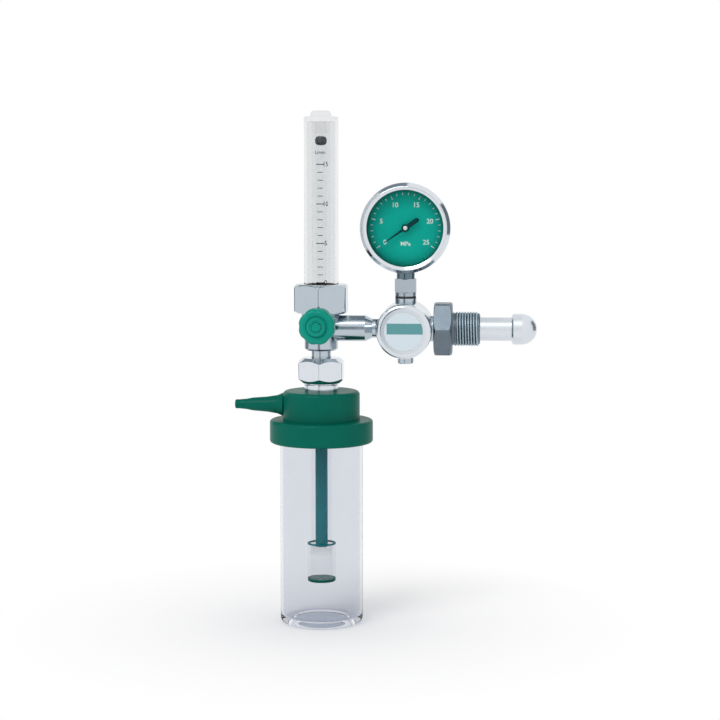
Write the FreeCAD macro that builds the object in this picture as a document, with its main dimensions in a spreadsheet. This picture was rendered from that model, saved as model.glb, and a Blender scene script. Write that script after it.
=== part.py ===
import FreeCAD, Part
import math
import os
import re
import Sketcher

# Oxygen regulator with contents gauge, float flowmeter and humidifier bottle.
# Lengths are in millimetres. +X runs to the cylinder, -Y to the viewer, +Z up.
# The origin is on the gas axis, in the middle of the cylindrical land of the inlet nose.

os.makedirs("parts", exist_ok=True)
doc = FreeCAD.newDocument("OxygenRegulator")
sheet = doc.addObject("Spreadsheet::Sheet", "Sizes")
Vector = FreeCAD.Vector

# Driving dimensions, kept in the sheet under their own names
sizes = {
    # Fits
    "running_gap": 0.08,
    "free_gap": 0.3,
    "screwed_gap": 0.04,
    "edge_round": 0.6,
    "small_chamfer": 0.5,
    "hexagon_angle": 30,

    # Where the axes of the groups stand
    "nose_to_reducer": 74.1,
    "nose_to_flow": 130.4,
    "gauge_height": 66.8,
    "knob_height": 3.4,

    # Inlet stem and bull nose
    "nose_radius": 10.2,
    "nose_land": 5.4,
    "nose_chamfer": 1.1,
    "stem_radius": 7.85,
    "gas_bore": 2.0,
    "inlet_thread": 5.9,
    "inlet_thread_length": 8.6,
    "inlet_rise": 0.5,
    "inlet_boss_radius": 8.6,
    "filter_radius": 3.6,
    "filter_length": 5.0,

    # Inlet nut, G 5/8 male thread
    "inlet_nut_flats": 34.0,
    "inlet_hex_length": 12.0,
    "inlet_nut_thread": 11.456,
    "inlet_nut_thread_length": 16.6,
    "inlet_nut_neck": 1.8,
    "inlet_nut_neck_radius": 10.6,
    "ring_section": 0.7,
    "ring_place": 6.0,

    # Reducer body, turned about the Y axis
    "body_radius": 18.2,
    "body_front": 18.0,
    "body_back": 17.0,
    "body_edge": 1.6,
    "chamber_radius": 13.5,
    "chamber_floor": 8.0,
    "clamp_radius": 16.2,
    "clamp_floor": 13.0,
    "seat_wall": 3.0,
    "seat_orifice": 1.7,
    "valve_bore": 5.0,
    "link_bore": 1.5,
    "link_offset": 10.4,
    "port_depth": 8.8,
    "gauge_port": 4.9,
    "gauge_boss_radius": 7.2,
    "gauge_rise": 2.0,
    "arm_port": 5.0,
    "arm_boss_radius": 6.4,
    "arm_rise": 0.6,
    "relief_port": 3.5,
    "relief_boss_radius": 5.8,
    "relief_rise": 0.8,
    "bonnet_front": 26.0,
    "bonnet_edge": 3.2,
    "bonnet_wall": 2.6,
    "spring_well": 11.0,
    "label_radius": 12.6,
    "label_recess": 0.5,
    "label_thickness": 0.4,
    "diaphragm_thickness": 1.0,
    "plate_radius": 9.5,
    "plate_thickness": 1.5,
    "main_wire": 0.9,
    "main_spring_radius": 6.6,
    "poppet_head": 3.6,
    "poppet_head_length": 3.0,
    "poppet_stem": 1.3,
    "poppet_tail": 1.5,
    "poppet_tail_length": 6.0,
    "poppet_wire": 0.35,
    "plug_inner": 7.5,
    "plug_key": 2.4,
    "relief_cap_length": 4.3,
    "relief_cap_radius": 5.3,
    "relief_bore": 2.3,
    "relief_seat": 12.2,
    "relief_wire": 0.3,
    "relief_poppet_length": 1.8,

    # Outlet arm between reducer and flowmeter
    "arm_radius": 8.65,
    "arm_chamfer": 2.4,
    "arm_neck": 2.3,
    "arm_neck_radius": 6.3,
    "arm_seal_thickness": 0.8,
    "arm_thread_length": 8.0,

    # Contents gauge, turned about the Y axis
    "case_radius": 29.0,
    "case_wall": 1.2,
    "case_back": 15.0,
    "case_front": 8.0,
    "case_edge": 2.5,
    "bezel_lap": 0.9,
    "bezel_front": 13.5,
    "bezel_back": 6.4,
    "bezel_inset": 3.7,
    "crest_inset": 1.6,
    "window_thickness": 2.0,
    "dial_thickness": 0.8,
    "dial_front": 3.6,
    "pointer_front": 6.6,
    "pointer_thickness": 0.5,
    "pointer_length": 17.5,
    "pointer_tail": 8.0,
    "pointer_hub": 2.6,
    "pointer_angle": 215,
    "arbor_radius": 0.8,
    "tooth_module": 0.3,
    "pinion_teeth": 12,
    "sector_teeth": 72,
    "gear_thickness": 1.4,
    "gear_back": 1.2,
    "plate_gap": 4.0,
    "frame_plate": 1.0,
    "bourdon_inset": 8.0,
    "bourdon_depth": 7.0,
    "bourdon_section": 2.6,
    "bourdon_skin": 0.4,
    "bourdon_front": 4.5,
    "bourdon_start_angle": 73,
    "bourdon_sweep_angle": 286,
    "sector_lean": 20,
    "sector_span": 11,
    "sector_tail": 3.6,
    "frame_half_width": 5.5,
    "frame_foot": 4.5,
    "frame_head": 5.0,
    "socket_flats": 14.0,
    "socket_hex": 9.3,
    "socket_collar": 2.3,
    "socket_neck_radius": 6.05,
    "washer_thickness": 1.5,
    "socket_thread_length": 8.5,
    "block_width": 11.0,
    "block_depth": 13.5,
    "block_front": 2.0,
    "block_lift": 0.7,

    # Flowmeter body, turned about the Z axis
    "barrel_radius": 11.2,
    "barrel_bottom": 14.7,
    "barrel_chamfer": 1.2,
    "boss_step": 5.5,
    "boss_radius": 13.2,
    "body_top": 19.3,
    "side_boss": 15.0,
    "tube_socket_floor": 12.0,
    "tail_radius": 6.5,
    "tail_flange_radius": 9.3,
    "tail_flange_top": 23.0,
    "tail_flange": 2.5,
    "outlet_bore": 3.5,
    "return_offset": 8.6,
    "return_floor": 10.0,
    "needle_boss_radius": 5.1,
    "needle_boss": 14.0,
    "needle_bore": 4.0,
    "needle_seat": 2.0,
    "needle_orifice": 1.2,

    # Needle spindle, gland and knob along the Y axis
    "spindle_radius": 2.6,
    "spindle_thread": 3.9,
    "spindle_thread_length": 4.2,
    "spindle_ring_section": 0.37,
    "ring_inset": 1.2,
    "shank_radius": 2.0,
    "gland_flats": 9.4,
    "gland_head": 5.0,
    "gland_spigot": 3.0,
    "knob_back": 21.5,
    "knob_depth": 15.0,
    "knob_radius": 12.2,
    "knob_shoulder": 3.0,
    "knob_hub_radius": 6.0,
    "knob_hub_step": 2.2,
    "knob_flutes": 8,
    "flute_radius": 4.0,
    "flute_depth": 0.9,
    "knob_shank": 9.0,
    "knob_web": 1.6,
    "knob_screw_radius": 1.2,
    "knob_screw_head": 2.3,
    "knob_screw_length": 6.0,
    "knob_cap_radius": 3.0,

    # Metering tube and its cover
    "cover_radius": 11.4,
    "cover_wall": 2.0,
    "cover_flange_radius": 12.8,
    "cover_flange": 2.7,
    "cover_seal": 1.0,
    "cover_top": 140.0,
    "cover_ceiling": 3.2,
    "cover_button": 3.7,
    "cover_button_radius": 7.0,
    "meter_radius": 6.0,
    "meter_top": 129.0,
    "meter_bore_low": 3.15,
    "meter_bore_high": 4.0,
    "meter_seal": 1.5,
    "top_stop_low": 121.0,
    "top_stop_length": 6.0,
    "bottom_stop_length": 7.0,
    "ball_radius": 3.0,
    "collar_flats": 34.5,
    "collar_low": 10.0,
    "collar_length": 19.3,

    # Union nut and humidifier cap
    "union_flats": 29.5,
    "union_length": 17.0,
    "union_top": 19.7,
    "union_seal": 1.5,
    "nipple_thread": 9.9,
    "nipple_flange": 4.5,
    "nipple_flange_radius": 11.5,
    "nipple_shank": 7.0,
    "nipple_bore": 3.0,
    "backing_nut": 4.0,
    "backing_nut_flats": 19.0,
    "spigot_radius": 2.55,
    "spigot_length": 9.0,
    "cap_top": 42.0,
    "cap_wall": 2.8,
    "cap_radius": 25.7,
    "cap_edge": 2.6,
    "skirt_top": 61.3,
    "skirt_bottom": 76.6,
    "skirt_radius": 34.5,
    "skirt_edge": 1.8,
    "skirt_wall": 4.3,
    "spout_height": 51.5,
    "spout_tip": 57.9,
    "spout_tip_radius": 3.05,
    "spout_tip_length": 11.5,
    "spout_mid_radius": 4.3,
    "spout_root_radius": 5.0,
    "spout_root": 35.6,
    "spout_boss": 6.6,
    "spout_boss_length": 0.8,
    "spout_bore": 1.7,

    # Dip tube, sleeve and diffuser
    "dip_radius": 4.1,
    "dip_bore": 2.6,
    "dip_bottom": 147.5,
    "sleeve_radius": 7.5,
    "sleeve_bore": 6.4,
    "sleeve_bottom": 152.5,
    "diffuser_radius": 9.4,
    "diffuser_top": 145.0,
    "diffuser_bottom": 171.0,
    "ring_thickness": 2.0,
    "ring_hole": 1.1,
    "ring_hole_circle": 4.8,
    "ring_holes": 6,

    # Bottle
    "gasket_thickness": 1.5,
    "bottle_radius": 27.8,
    "bottle_wall": 1.8,
    "bottle_bottom": 199.0,
    "bottle_corner": 4.0,
    "bottle_base": 2.2,
    "bottle_push_up": 2.6,
    "bottle_foot": 20.0,
    "neck_bottom": 73.5,
    "neck_wall": 2.0,
}

for row, (name, value) in enumerate(sizes.items(), start=1):
    sheet.set(f"A{row}", name)
    sheet.set(f"B{row}", str(value))
    sheet.setAlias(f"B{row}", name)
doc.recompute()


def bound(text):
    """Turn the words of a formula into references to the sheet."""
    return re.sub(r"[a-z_]+[a-z0-9_]*", lambda word: f"Sizes.{word[0]}" if word[0] in sizes else word[0],
                  text)


def number(text):
    """Work out a formula of named sizes."""
    return float(sheet.evalExpression(bound(text)))


# Turned pieces are drawn with their own axis along local Z and then laid along the axis of their group.
upright = FreeCAD.Rotation(Vector(0, 0, 1), 0)
toward_viewer = FreeCAD.Rotation(Vector(1, 0, 0), 90)
toward_cylinder = FreeCAD.Rotation(Vector(0, 1, 0), 90)
groups = {
    "inlet": (toward_cylinder, "0", "0"),
    "reducer": (toward_viewer, "-nose_to_reducer", "0"),
    "gauge": (toward_viewer, "-nose_to_reducer", "gauge_height"),
    "gauge_stem": (upright, "-nose_to_reducer", "0"),
    "relief": (FreeCAD.Rotation(Vector(1, 0, 0), 180), "-nose_to_reducer", "0"),
    "arm": (toward_cylinder, "-nose_to_reducer", "0"),
    "flow": (upright, "-nose_to_flow", "0"),
    "needle": (toward_viewer, "-nose_to_flow", "knob_height"),
}
# Faces of the reducer's bosses and the floor of its ports from its centre, and the bottle's neck
inlet_face = "(body_radius + inlet_rise)"
arm_face = "(body_radius + arm_rise)"
gauge_face = "(body_radius + gauge_rise)"
relief_face = "(body_radius + relief_rise)"
port_floor = "(body_radius - port_depth)"
neck_radius = "(skirt_radius - skirt_wall)"

pieces = []


def new_piece(name, group):
    """Start a body in one of the groups; its label names its file."""
    body = doc.addObject("PartDesign::Body", name)
    body.Label = name
    turn, across, up = groups[group]
    body.Placement = FreeCAD.Placement(Vector(0, 0, 0), turn)
    body.setExpression("Placement.Base.x", bound(across))
    body.setExpression("Placement.Base.z", bound(up))
    pieces.append(body)
    return body


def sketch_on(body, role, name, offset=("0", "0", "0")):
    """Make a sketch on one of the body's own origin planes, moved by an offset in the plane's axes."""
    plane = [feature for feature in body.Origin.OriginFeatures if feature.Role == role][0]
    sketch = body.newObject("Sketcher::SketchObject", name)
    sketch.AttachmentSupport = [(plane, "")]
    sketch.MapMode = "FlatFace"
    for axis, text in zip("xyz", offset):
        sketch.setExpression(f"AttachmentOffset.Base.{axis}", bound(text))
    return sketch


def outline(sketch, corners):
    """Draw a closed outline; a corner is (across, up) or (across, up, round) in formulas of named sizes."""
    spots = [(number(corner[0]), number(corner[1])) for corner in corners]
    lines = []
    for index, spot in enumerate(spots):
        following = spots[(index + 1) % len(spots)]
        segment = Part.LineSegment(Vector(spot[0], spot[1], 0), Vector(following[0], following[1], 0))
        lines.append(sketch.addGeometry(segment, False))
    for index, line in enumerate(lines):
        following = lines[(index + 1) % len(lines)]
        sketch.addConstraint(Sketcher.Constraint("Coincident", line, 2, following, 1))
    for line, spot, corner in zip(lines, spots, corners):
        for kind, value, text in (("DistanceX", spot[0], corner[0]), ("DistanceY", spot[1], corner[1])):
            place = sketch.addConstraint(Sketcher.Constraint(kind, -1, 1, line, 1, value))
            sketch.setExpression(f"Constraints[{place}]", bound(text))
    for line, corner in zip(lines, corners):
        if len(corner) == 3:
            sketch.fillet(line, 1, number(corner[2]), True, True)
            arc = max(place for place, shape in enumerate(sketch.Geometry)
                      if isinstance(shape, Part.ArcOfCircle))
            place = sketch.addConstraint(Sketcher.Constraint("Radius", arc, number(corner[2])))
            sketch.setExpression(f"Constraints[{place}]", bound(corner[2]))


def turned(body, name, corners, cut=False):
    """Turn an outline of (radius, height) corners about the local Z axis, as metal or as a cut."""
    sketch = sketch_on(body, "XZ_Plane", name + "_outline")
    outline(sketch, corners)
    feature = body.newObject("PartDesign::Groove" if cut else "PartDesign::Revolution", name)
    feature.Profile = sketch
    feature.ReferenceAxis = (sketch, ["V_Axis"])
    feature.Angle = 360
    return feature


directions = {
    "+X": FreeCAD.Rotation(Vector(0, 1, 0), 90),
    "-X": FreeCAD.Rotation(Vector(0, 1, 0), -90),
    "+Y": FreeCAD.Rotation(Vector(1, 0, 0), -90),
    "-Y": FreeCAD.Rotation(Vector(1, 0, 0), 90),
    "+Z": upright,
    "-Z": FreeCAD.Rotation(Vector(1, 0, 0), 180),
}


def primitive(body, kind, name, start, along, **sizes):
    """Add or cut a primitive that starts at a local point and runs along a local direction."""
    feature = body.newObject(f"PartDesign::{kind}", name)
    feature.Placement = FreeCAD.Placement(Vector(0, 0, 0), directions[along])
    for axis, text in zip("xyz", start):
        feature.setExpression(f"Placement.Base.{axis}", bound(text))
    for key, text in sizes.items():
        feature.setExpression(key, bound(text))
    return feature


def boss(body, name, radius, length, start=("0", "0", "0"), along="+Z"):
    return primitive(body, "AdditiveCylinder", name, start, along, Radius=radius, Height=length)


def drill(body, name, radius, length, start=("0", "0", "0"), along="+Z"):
    return primitive(body, "SubtractiveCylinder", name, start, along, Radius=radius, Height=length)


def hexagon(body, name, flats, low, length, chamfers=("top",), cut=False, corner="hexagon_angle"):
    """Add a hexagon about the local Z axis with a corner at the given angle, its ends turned to a cone."""
    feature = body.newObject(f"PartDesign::{'Subtractive' if cut else 'Additive'}Prism", name)
    feature.Polygon = 6
    feature.Placement = FreeCAD.Placement(Vector(0, 0, 0), FreeCAD.Rotation(Vector(0, 0, 1), number(corner)))
    feature.setExpression("Placement.Base.z", bound(low))
    feature.setExpression("Circumradius", bound(f"({flats}) / (2 * cos(30 deg))"))
    feature.setExpression("Height", bound(length))
    reach = f"({flats}) * 0.6"
    crest = f"({flats}) * 0.49"
    drop = f"({flats}) * 0.11 * tan(27 deg)"
    if "top" in chamfers:
        top = f"({low}) + ({length})"
        turned(body, name + "_top_cone", [(crest, top), (reach, top), (reach, f"{top} - {drop}")], cut=True)
    if "bottom" in chamfers:
        turned(body, name + "_low_cone", [(crest, low), (reach, f"({low}) + {drop}"), (reach, low)],
               cut=True)
    return feature


def ring_of(body, name, middle, section, height):
    """Turn a round section into a ring about the local Z axis."""
    sketch = sketch_on(body, "XZ_Plane", name + "_section")
    circle = sketch.addGeometry(Part.Circle(Vector(number(middle), number(height), 0),
                                            Vector(0, 0, 1), 1), False)
    across = sketch.addConstraint(Sketcher.Constraint("DistanceX", -1, 1, circle, 3, number(middle)))
    sketch.setExpression(f"Constraints[{across}]", bound(middle))
    up = sketch.addConstraint(Sketcher.Constraint("DistanceY", -1, 1, circle, 3, number(height)))
    sketch.setExpression(f"Constraints[{up}]", bound(height))
    radius = sketch.addConstraint(Sketcher.Constraint("Radius", circle, number(section)))
    sketch.setExpression(f"Constraints[{radius}]", bound(section))
    return sketch


def o_ring(name, group, middle, section, height):
    body = new_piece(name, group)
    sketch = ring_of(body, "ring", middle, section, height)
    feature = body.newObject("PartDesign::Revolution", "ring")
    feature.Profile = sketch
    feature.ReferenceAxis = (sketch, ["V_Axis"])
    feature.Angle = 360
    return body


def coil(name, group, middle, wire, low, high, turns):
    """Wind a compression spring whose wire just stays between its two seats."""
    body = new_piece(name, group)
    sketch = ring_of(body, "wire", middle, wire, f"({low}) + ({wire})")
    feature = body.newObject("PartDesign::AdditiveHelix", "coil")
    feature.Profile = sketch
    feature.ReferenceAxis = (sketch, ["V_Axis"])
    feature.Mode = "height-turns-angle"
    feature.Turns = turns
    feature.setExpression("Height", bound(f"({high}) - ({low}) - 2 * ({wire})"))
    return body


def disc(name, group, radius, low, high, bore=None):
    """A flat round piece, with a hole where a bore is given."""
    body = new_piece(name, group)
    inner = bore if bore else "0"
    turned(body, "disc", [(inner, low), (radius, low), (radius, high), (inner, high)])
    return body


def inlet_stem():
    """Stem and bull nose from one bar: thread at the reducer, round nose at the cylinder."""
    body = new_piece("inlet_stem", "inlet")
    shoulder = f"{inlet_face} - nose_to_reducer"
    end = f"{inlet_face} - nose_to_reducer - inlet_thread_length"
    turned(body, "stem", [
        ("0", end),
        ("inlet_thread - screwed_gap", end),
        ("inlet_thread - screwed_gap", shoulder),
        ("stem_radius", shoulder),
        ("stem_radius", "-nose_land / 2 - nose_chamfer"),
        ("nose_radius - nose_chamfer", "-nose_land / 2 - nose_chamfer"),
        ("nose_radius", "-nose_land / 2"),
        ("nose_radius", "nose_land / 2"),
        ("0", "nose_land / 2"),
    ])
    ball = body.newObject("PartDesign::AdditiveSphere", "round_nose")
    ball.setExpression("Radius", bound("nose_radius"))
    ball.setExpression("Placement.Base.z", bound("nose_land / 2"))
    ball.Angle1 = 0
    drill(body, "gas_way", "gas_bore", "inlet_thread_length + nose_to_reducer + nose_land + nose_radius",
          start=("0", "0", end))
    drill(body, "filter_pocket", "filter_radius", "filter_length", start=("0", "0", end))


def inlet_filter():
    end = f"{inlet_face} - nose_to_reducer - inlet_thread_length"
    disc("inlet_filter", "inlet", "filter_radius", end, f"{end} + filter_length")


def inlet_nut():
    """Hand of the cylinder joint: hexagon, relieved neck and male thread, free on the stem."""
    body = new_piece("inlet_nut", "inlet")
    low = f"{inlet_face} - nose_to_reducer + free_gap"
    neck = f"{low} + inlet_hex_length"
    thread = f"{neck} + inlet_nut_neck"
    end = f"{thread} + inlet_nut_thread_length"
    turned(body, "barrel", [
        ("0", low),
        ("inlet_nut_neck_radius", low),
        ("inlet_nut_neck_radius", thread),
        ("inlet_nut_thread - small_chamfer", thread),
        ("inlet_nut_thread", f"{thread} + small_chamfer"),
        ("inlet_nut_thread", f"{end} - 2 * small_chamfer"),
        ("inlet_nut_thread - 2 * small_chamfer", end),
        ("0", end),
    ])
    hexagon(body, "hexagon", "inlet_nut_flats", low, "inlet_hex_length", chamfers=("top", "bottom"))
    reach = "inlet_hex_length + inlet_nut_neck + inlet_nut_thread_length"
    drill(body, "stem_bore", "stem_radius + running_gap", reach, start=("0", "0", low))
    groove = f"{low} + ring_place"
    turned(body, "ring_groove", [
        ("stem_radius", f"{groove} - ring_section - running_gap"),
        ("stem_radius + 2 * ring_section + 2 * running_gap", f"{groove} - ring_section - running_gap"),
        ("stem_radius + 2 * ring_section + 2 * running_gap", f"{groove} + ring_section + running_gap"),
        ("stem_radius", f"{groove} + ring_section + running_gap"),
    ], cut=True)


def nut_ring():
    low = f"{inlet_face} - nose_to_reducer + free_gap"
    o_ring("nut_ring", "inlet", "stem_radius + ring_section + running_gap", "ring_section",
           f"{low} + ring_place")


def reducer_body():
    """Round forging with its ports on the cross: inlet, outlet, gauge and relief."""
    body = new_piece("reducer_body", "reducer")
    turned(body, "forging", [
        ("0", "-body_back"),
        ("body_radius", "-body_back", "body_edge"),
        ("body_radius", "body_front"),
        ("0", "body_front"),
    ])
    boss(body, "inlet_face", "inlet_boss_radius", inlet_face, along="+X")
    boss(body, "arm_face", "arm_boss_radius", arm_face, along="-X")
    boss(body, "gauge_face", "gauge_boss_radius", gauge_face, along="+Y")
    boss(body, "relief_face", "relief_boss_radius", relief_face, along="-Y")
    turned(body, "inside", [
        ("0", "-body_back"),
        ("valve_bore", "-body_back"),
        ("valve_bore", "chamber_floor - seat_wall"),
        ("seat_orifice", "chamber_floor - seat_wall"),
        ("seat_orifice", "chamber_floor"),
        ("chamber_radius", "chamber_floor"),
        ("chamber_radius", "clamp_floor"),
        ("clamp_radius", "clamp_floor"),
        ("clamp_radius", "body_front"),
        ("0", "body_front"),
    ], cut=True)
    drill(body, "inlet_socket", "inlet_thread", f"{inlet_face} - {port_floor}",
          start=(port_floor, "0", "0"), along="+X")
    drill(body, "inlet_way", "gas_bore", port_floor, along="+X")
    drill(body, "gauge_bore", "gauge_port", f"{gauge_face} - {port_floor}",
          start=("0", port_floor, "0"), along="+Y")
    drill(body, "gauge_way", "link_bore", port_floor, along="+Y")
    drill(body, "arm_socket", "arm_port", f"{arm_face} - {port_floor}",
          start=(f"-{port_floor}", "0", "0"), along="-X")
    drill(body, "arm_way", "link_bore", "chamber_floor", start=("-link_offset", "0", "0"))
    drill(body, "relief_socket", "relief_port", f"{relief_face} - relief_seat",
          start=("0", "-relief_seat", "0"), along="-Y")
    drill(body, "relief_throat", "link_bore", "relief_seat - chamber_floor",
          start=("0", "-chamber_floor", "0"), along="-Y")
    drill(body, "relief_way", "link_bore", "chamber_floor", start=("0", "-link_offset", "0"))


def bonnet():
    """Front cover that clamps the diaphragm, holds the spring and carries the label."""
    body = new_piece("bonnet", "reducer")
    turned(body, "cover", [
        ("spring_well", "clamp_floor + diaphragm_thickness"),
        ("clamp_radius - running_gap", "clamp_floor + diaphragm_thickness"),
        ("clamp_radius - running_gap", "body_front"),
        ("body_radius", "body_front"),
        ("body_radius", "bonnet_front", "bonnet_edge"),
        ("label_radius + running_gap", "bonnet_front"),
        ("label_radius + running_gap", "bonnet_front - label_recess"),
        ("0", "bonnet_front - label_recess"),
        ("0", "bonnet_front - bonnet_wall"),
        ("spring_well", "bonnet_front - bonnet_wall"),
    ])


def label_plate():
    low = "bonnet_front - label_recess"
    disc("label_plate", "reducer", "label_radius", low, f"{low} + label_thickness")


def diaphragm():
    disc("diaphragm", "reducer", "clamp_radius - running_gap", "clamp_floor",
         "clamp_floor + diaphragm_thickness")


def diaphragm_plate():
    """Spring seat on the diaphragm with a collar that centres the spring."""
    body = new_piece("diaphragm_plate", "reducer")
    low = "clamp_floor + diaphragm_thickness"
    collar = "main_spring_radius - main_wire - free_gap"
    turned(body, "plate", [
        ("0", low),
        ("plate_radius", low),
        ("plate_radius", f"{low} + plate_thickness"),
        (collar, f"{low} + plate_thickness"),
        (collar, f"{low} + 2 * plate_thickness"),
        ("0", f"{low} + 2 * plate_thickness"),
    ])


def main_spring():
    low = "clamp_floor + diaphragm_thickness + plate_thickness"
    coil("main_spring", "reducer", "main_spring_radius", "main_wire", low, "bonnet_front - bonnet_wall", 3)


def valve_poppet():
    """Head on the seat, stem through the orifice to the diaphragm and tail in the plug."""
    body = new_piece("valve_poppet", "reducer")
    seat = "chamber_floor - seat_wall"
    turned(body, "poppet", [
        ("0", f"{seat} - poppet_head_length - poppet_tail_length"),
        ("poppet_tail", f"{seat} - poppet_head_length - poppet_tail_length"),
        ("poppet_tail", f"{seat} - poppet_head_length"),
        ("poppet_head", f"{seat} - poppet_head_length"),
        ("poppet_head", seat),
        ("poppet_stem", seat),
        ("poppet_stem", "clamp_floor"),
        ("0", "clamp_floor"),
    ])


def poppet_spring():
    high = "chamber_floor - seat_wall - poppet_head_length"
    coil("poppet_spring", "reducer", "poppet_tail + free_gap + poppet_wire", "poppet_wire", "-plug_inner",
         high, 6)


def valve_plug():
    """Closes the valve bore from the back, with a key socket outside and a guide for the poppet's tail."""
    body = new_piece("valve_plug", "reducer")
    turned(body, "plug", [
        ("0", "-body_back"),
        ("valve_bore - screwed_gap", "-body_back"),
        ("valve_bore - screwed_gap", "-plug_inner"),
        ("0", "-plug_inner"),
    ])
    hexagon(body, "key_socket", "2 * plug_key", "-body_back", "(body_back - plug_inner) / 2", chamfers=(),
            cut=True)


def relief_cap():
    """Vented cap of the relief valve, screwed into the underside of the body."""
    body = new_piece("relief_cap", "relief")
    end = f"{relief_face} + relief_cap_length"
    turned(body, "cap", [
        ("relief_bore", "relief_seat + relief_poppet_length"),
        ("relief_port - screwed_gap", "relief_seat + relief_poppet_length"),
        ("relief_port - screwed_gap", relief_face),
        ("relief_cap_radius", relief_face),
        ("relief_cap_radius", end, "edge_round"),
        ("link_bore / 2", end),
        ("link_bore / 2", f"{end} - edge_round * 2"),
        ("relief_bore", f"{end} - edge_round * 2"),
    ])
    drill(body, "vent", "link_bore / 2", "2 * relief_cap_radius",
          start=("-relief_cap_radius", "0", f"{relief_face} + relief_cap_length / 2"), along="+X")


def relief_poppet():
    body = new_piece("relief_poppet", "relief")
    turned(body, "poppet", [
        ("0", "relief_seat"),
        ("relief_port - running_gap", "relief_seat"),
        ("relief_port - running_gap", "relief_seat + relief_poppet_length - free_gap - edge_round"),
        ("0", "relief_seat + relief_poppet_length - free_gap - edge_round"),
    ])


def relief_spring():
    low = "relief_seat + relief_poppet_length - free_gap - edge_round"
    high = f"{relief_face} + relief_cap_length - edge_round * 2"
    coil("relief_spring", "relief", "relief_bore - relief_wire - free_gap", "relief_wire", low, high, 6)


def outlet_arm():
    """Tube piece between reducer and flowmeter, chamfered down to a neck at the reducer."""
    body = new_piece("outlet_arm", "arm")
    right = f"-{arm_face} - arm_seal_thickness"
    left = "nose_to_reducer - nose_to_flow + side_boss"
    neck = f"{right} - arm_neck"
    turned(body, "arm", [
        ("gas_bore", f"{left} - arm_thread_length"),
        ("arm_port - screwed_gap", f"{left} - arm_thread_length"),
        ("arm_port - screwed_gap", left),
        ("arm_radius", left),
        ("arm_radius", f"{neck} - 2 * arm_chamfer"),
        ("arm_radius - arm_chamfer", neck),
        ("arm_neck_radius", neck),
        ("arm_neck_radius", right),
        ("arm_port - screwed_gap", right),
        ("arm_port - screwed_gap", f"{right} + arm_thread_length"),
        ("gas_bore", f"{right} + arm_thread_length"),
    ])


def arm_seal():
    disc("arm_seal", "arm", "arm_neck_radius - free_gap", f"-{arm_face} - arm_seal_thickness",
         f"-{arm_face}",
         bore="arm_port")


def gauge_case():
    """Pressed cup with a seat for the dial and a hole below for the socket."""
    body = new_piece("gauge_case", "gauge")
    turned(body, "cup", [
        ("0", "-case_back"),
        ("case_radius", "-case_back", "case_edge"),
        ("case_radius", "case_front"),
        ("case_radius - case_wall", "case_front"),
        ("case_radius - case_wall", "dial_front - dial_thickness"),
        ("case_radius - 2 * case_wall", "dial_front - dial_thickness"),
        ("case_radius - 2 * case_wall", "dial_front - 2 * dial_thickness"),
        ("case_radius - case_wall", "dial_front - 2 * dial_thickness - case_wall"),
        ("case_radius - case_wall", "case_wall - case_back", "case_edge - case_wall"),
        ("0", "case_wall - case_back"),
    ])
    drill(body, "socket_hole", "socket_neck_radius", "case_radius", start=("0", "0", "0"), along="-Y")


def gauge_bezel():
    """Ring over the case with a crest, a fall to the case and a slope in to the window."""
    body = new_piece("gauge_bezel", "gauge")
    turned(body, "ring", [
        ("case_radius", "bezel_back"),
        ("case_radius + bezel_lap", "bezel_back"),
        ("case_radius + bezel_lap", "bezel_front - 3 * case_wall", "case_edge"),
        ("case_radius - crest_inset", "bezel_front", "edge_round"),
        ("case_radius - bezel_inset", "bezel_front - case_wall"),
        ("case_radius - bezel_inset", "case_front + window_thickness"),
        ("case_radius", "case_front + window_thickness"),
    ])


def gauge_window():
    disc("gauge_window", "gauge", "case_radius - running_gap", "case_front", "case_front + window_thickness")


def gauge_dial():
    disc("gauge_dial", "gauge", "case_radius - case_wall - running_gap", "dial_front - dial_thickness",
         "dial_front",
         bore="2 * arbor_radius")


def gauge_pointer():
    """Flat pointer on a hub, pointing at zero, with a broad tail that balances it."""
    body = new_piece("gauge_pointer", "gauge")
    sketch = sketch_on(body, "XY_Plane", "blade_outline",
                       offset=("0", "0", "pointer_front - pointer_thickness"))
    outline(sketch, [
        ("-pointer_tail", "-1.6 * arbor_radius"),
        ("0", "-1.2 * arbor_radius"),
        ("pointer_length", "-0.2 * arbor_radius"),
        ("pointer_length", "0.2 * arbor_radius"),
        ("0", "1.2 * arbor_radius"),
        ("-pointer_tail", "1.6 * arbor_radius"),
    ])
    sketch.setExpression("AttachmentOffset.Rotation.Angle", bound("pointer_angle"))
    blade = body.newObject("PartDesign::Pad", "blade")
    blade.Profile = sketch
    blade.setExpression("Length", bound("pointer_thickness"))
    boss(body, "hub", "pointer_hub", "2 * pointer_thickness",
         start=("0", "0", "pointer_front - pointer_thickness"))
    drill(body, "arbor_hole", "arbor_radius", "2 * pointer_thickness",
          start=("0", "0", "pointer_front - pointer_thickness"))


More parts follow.
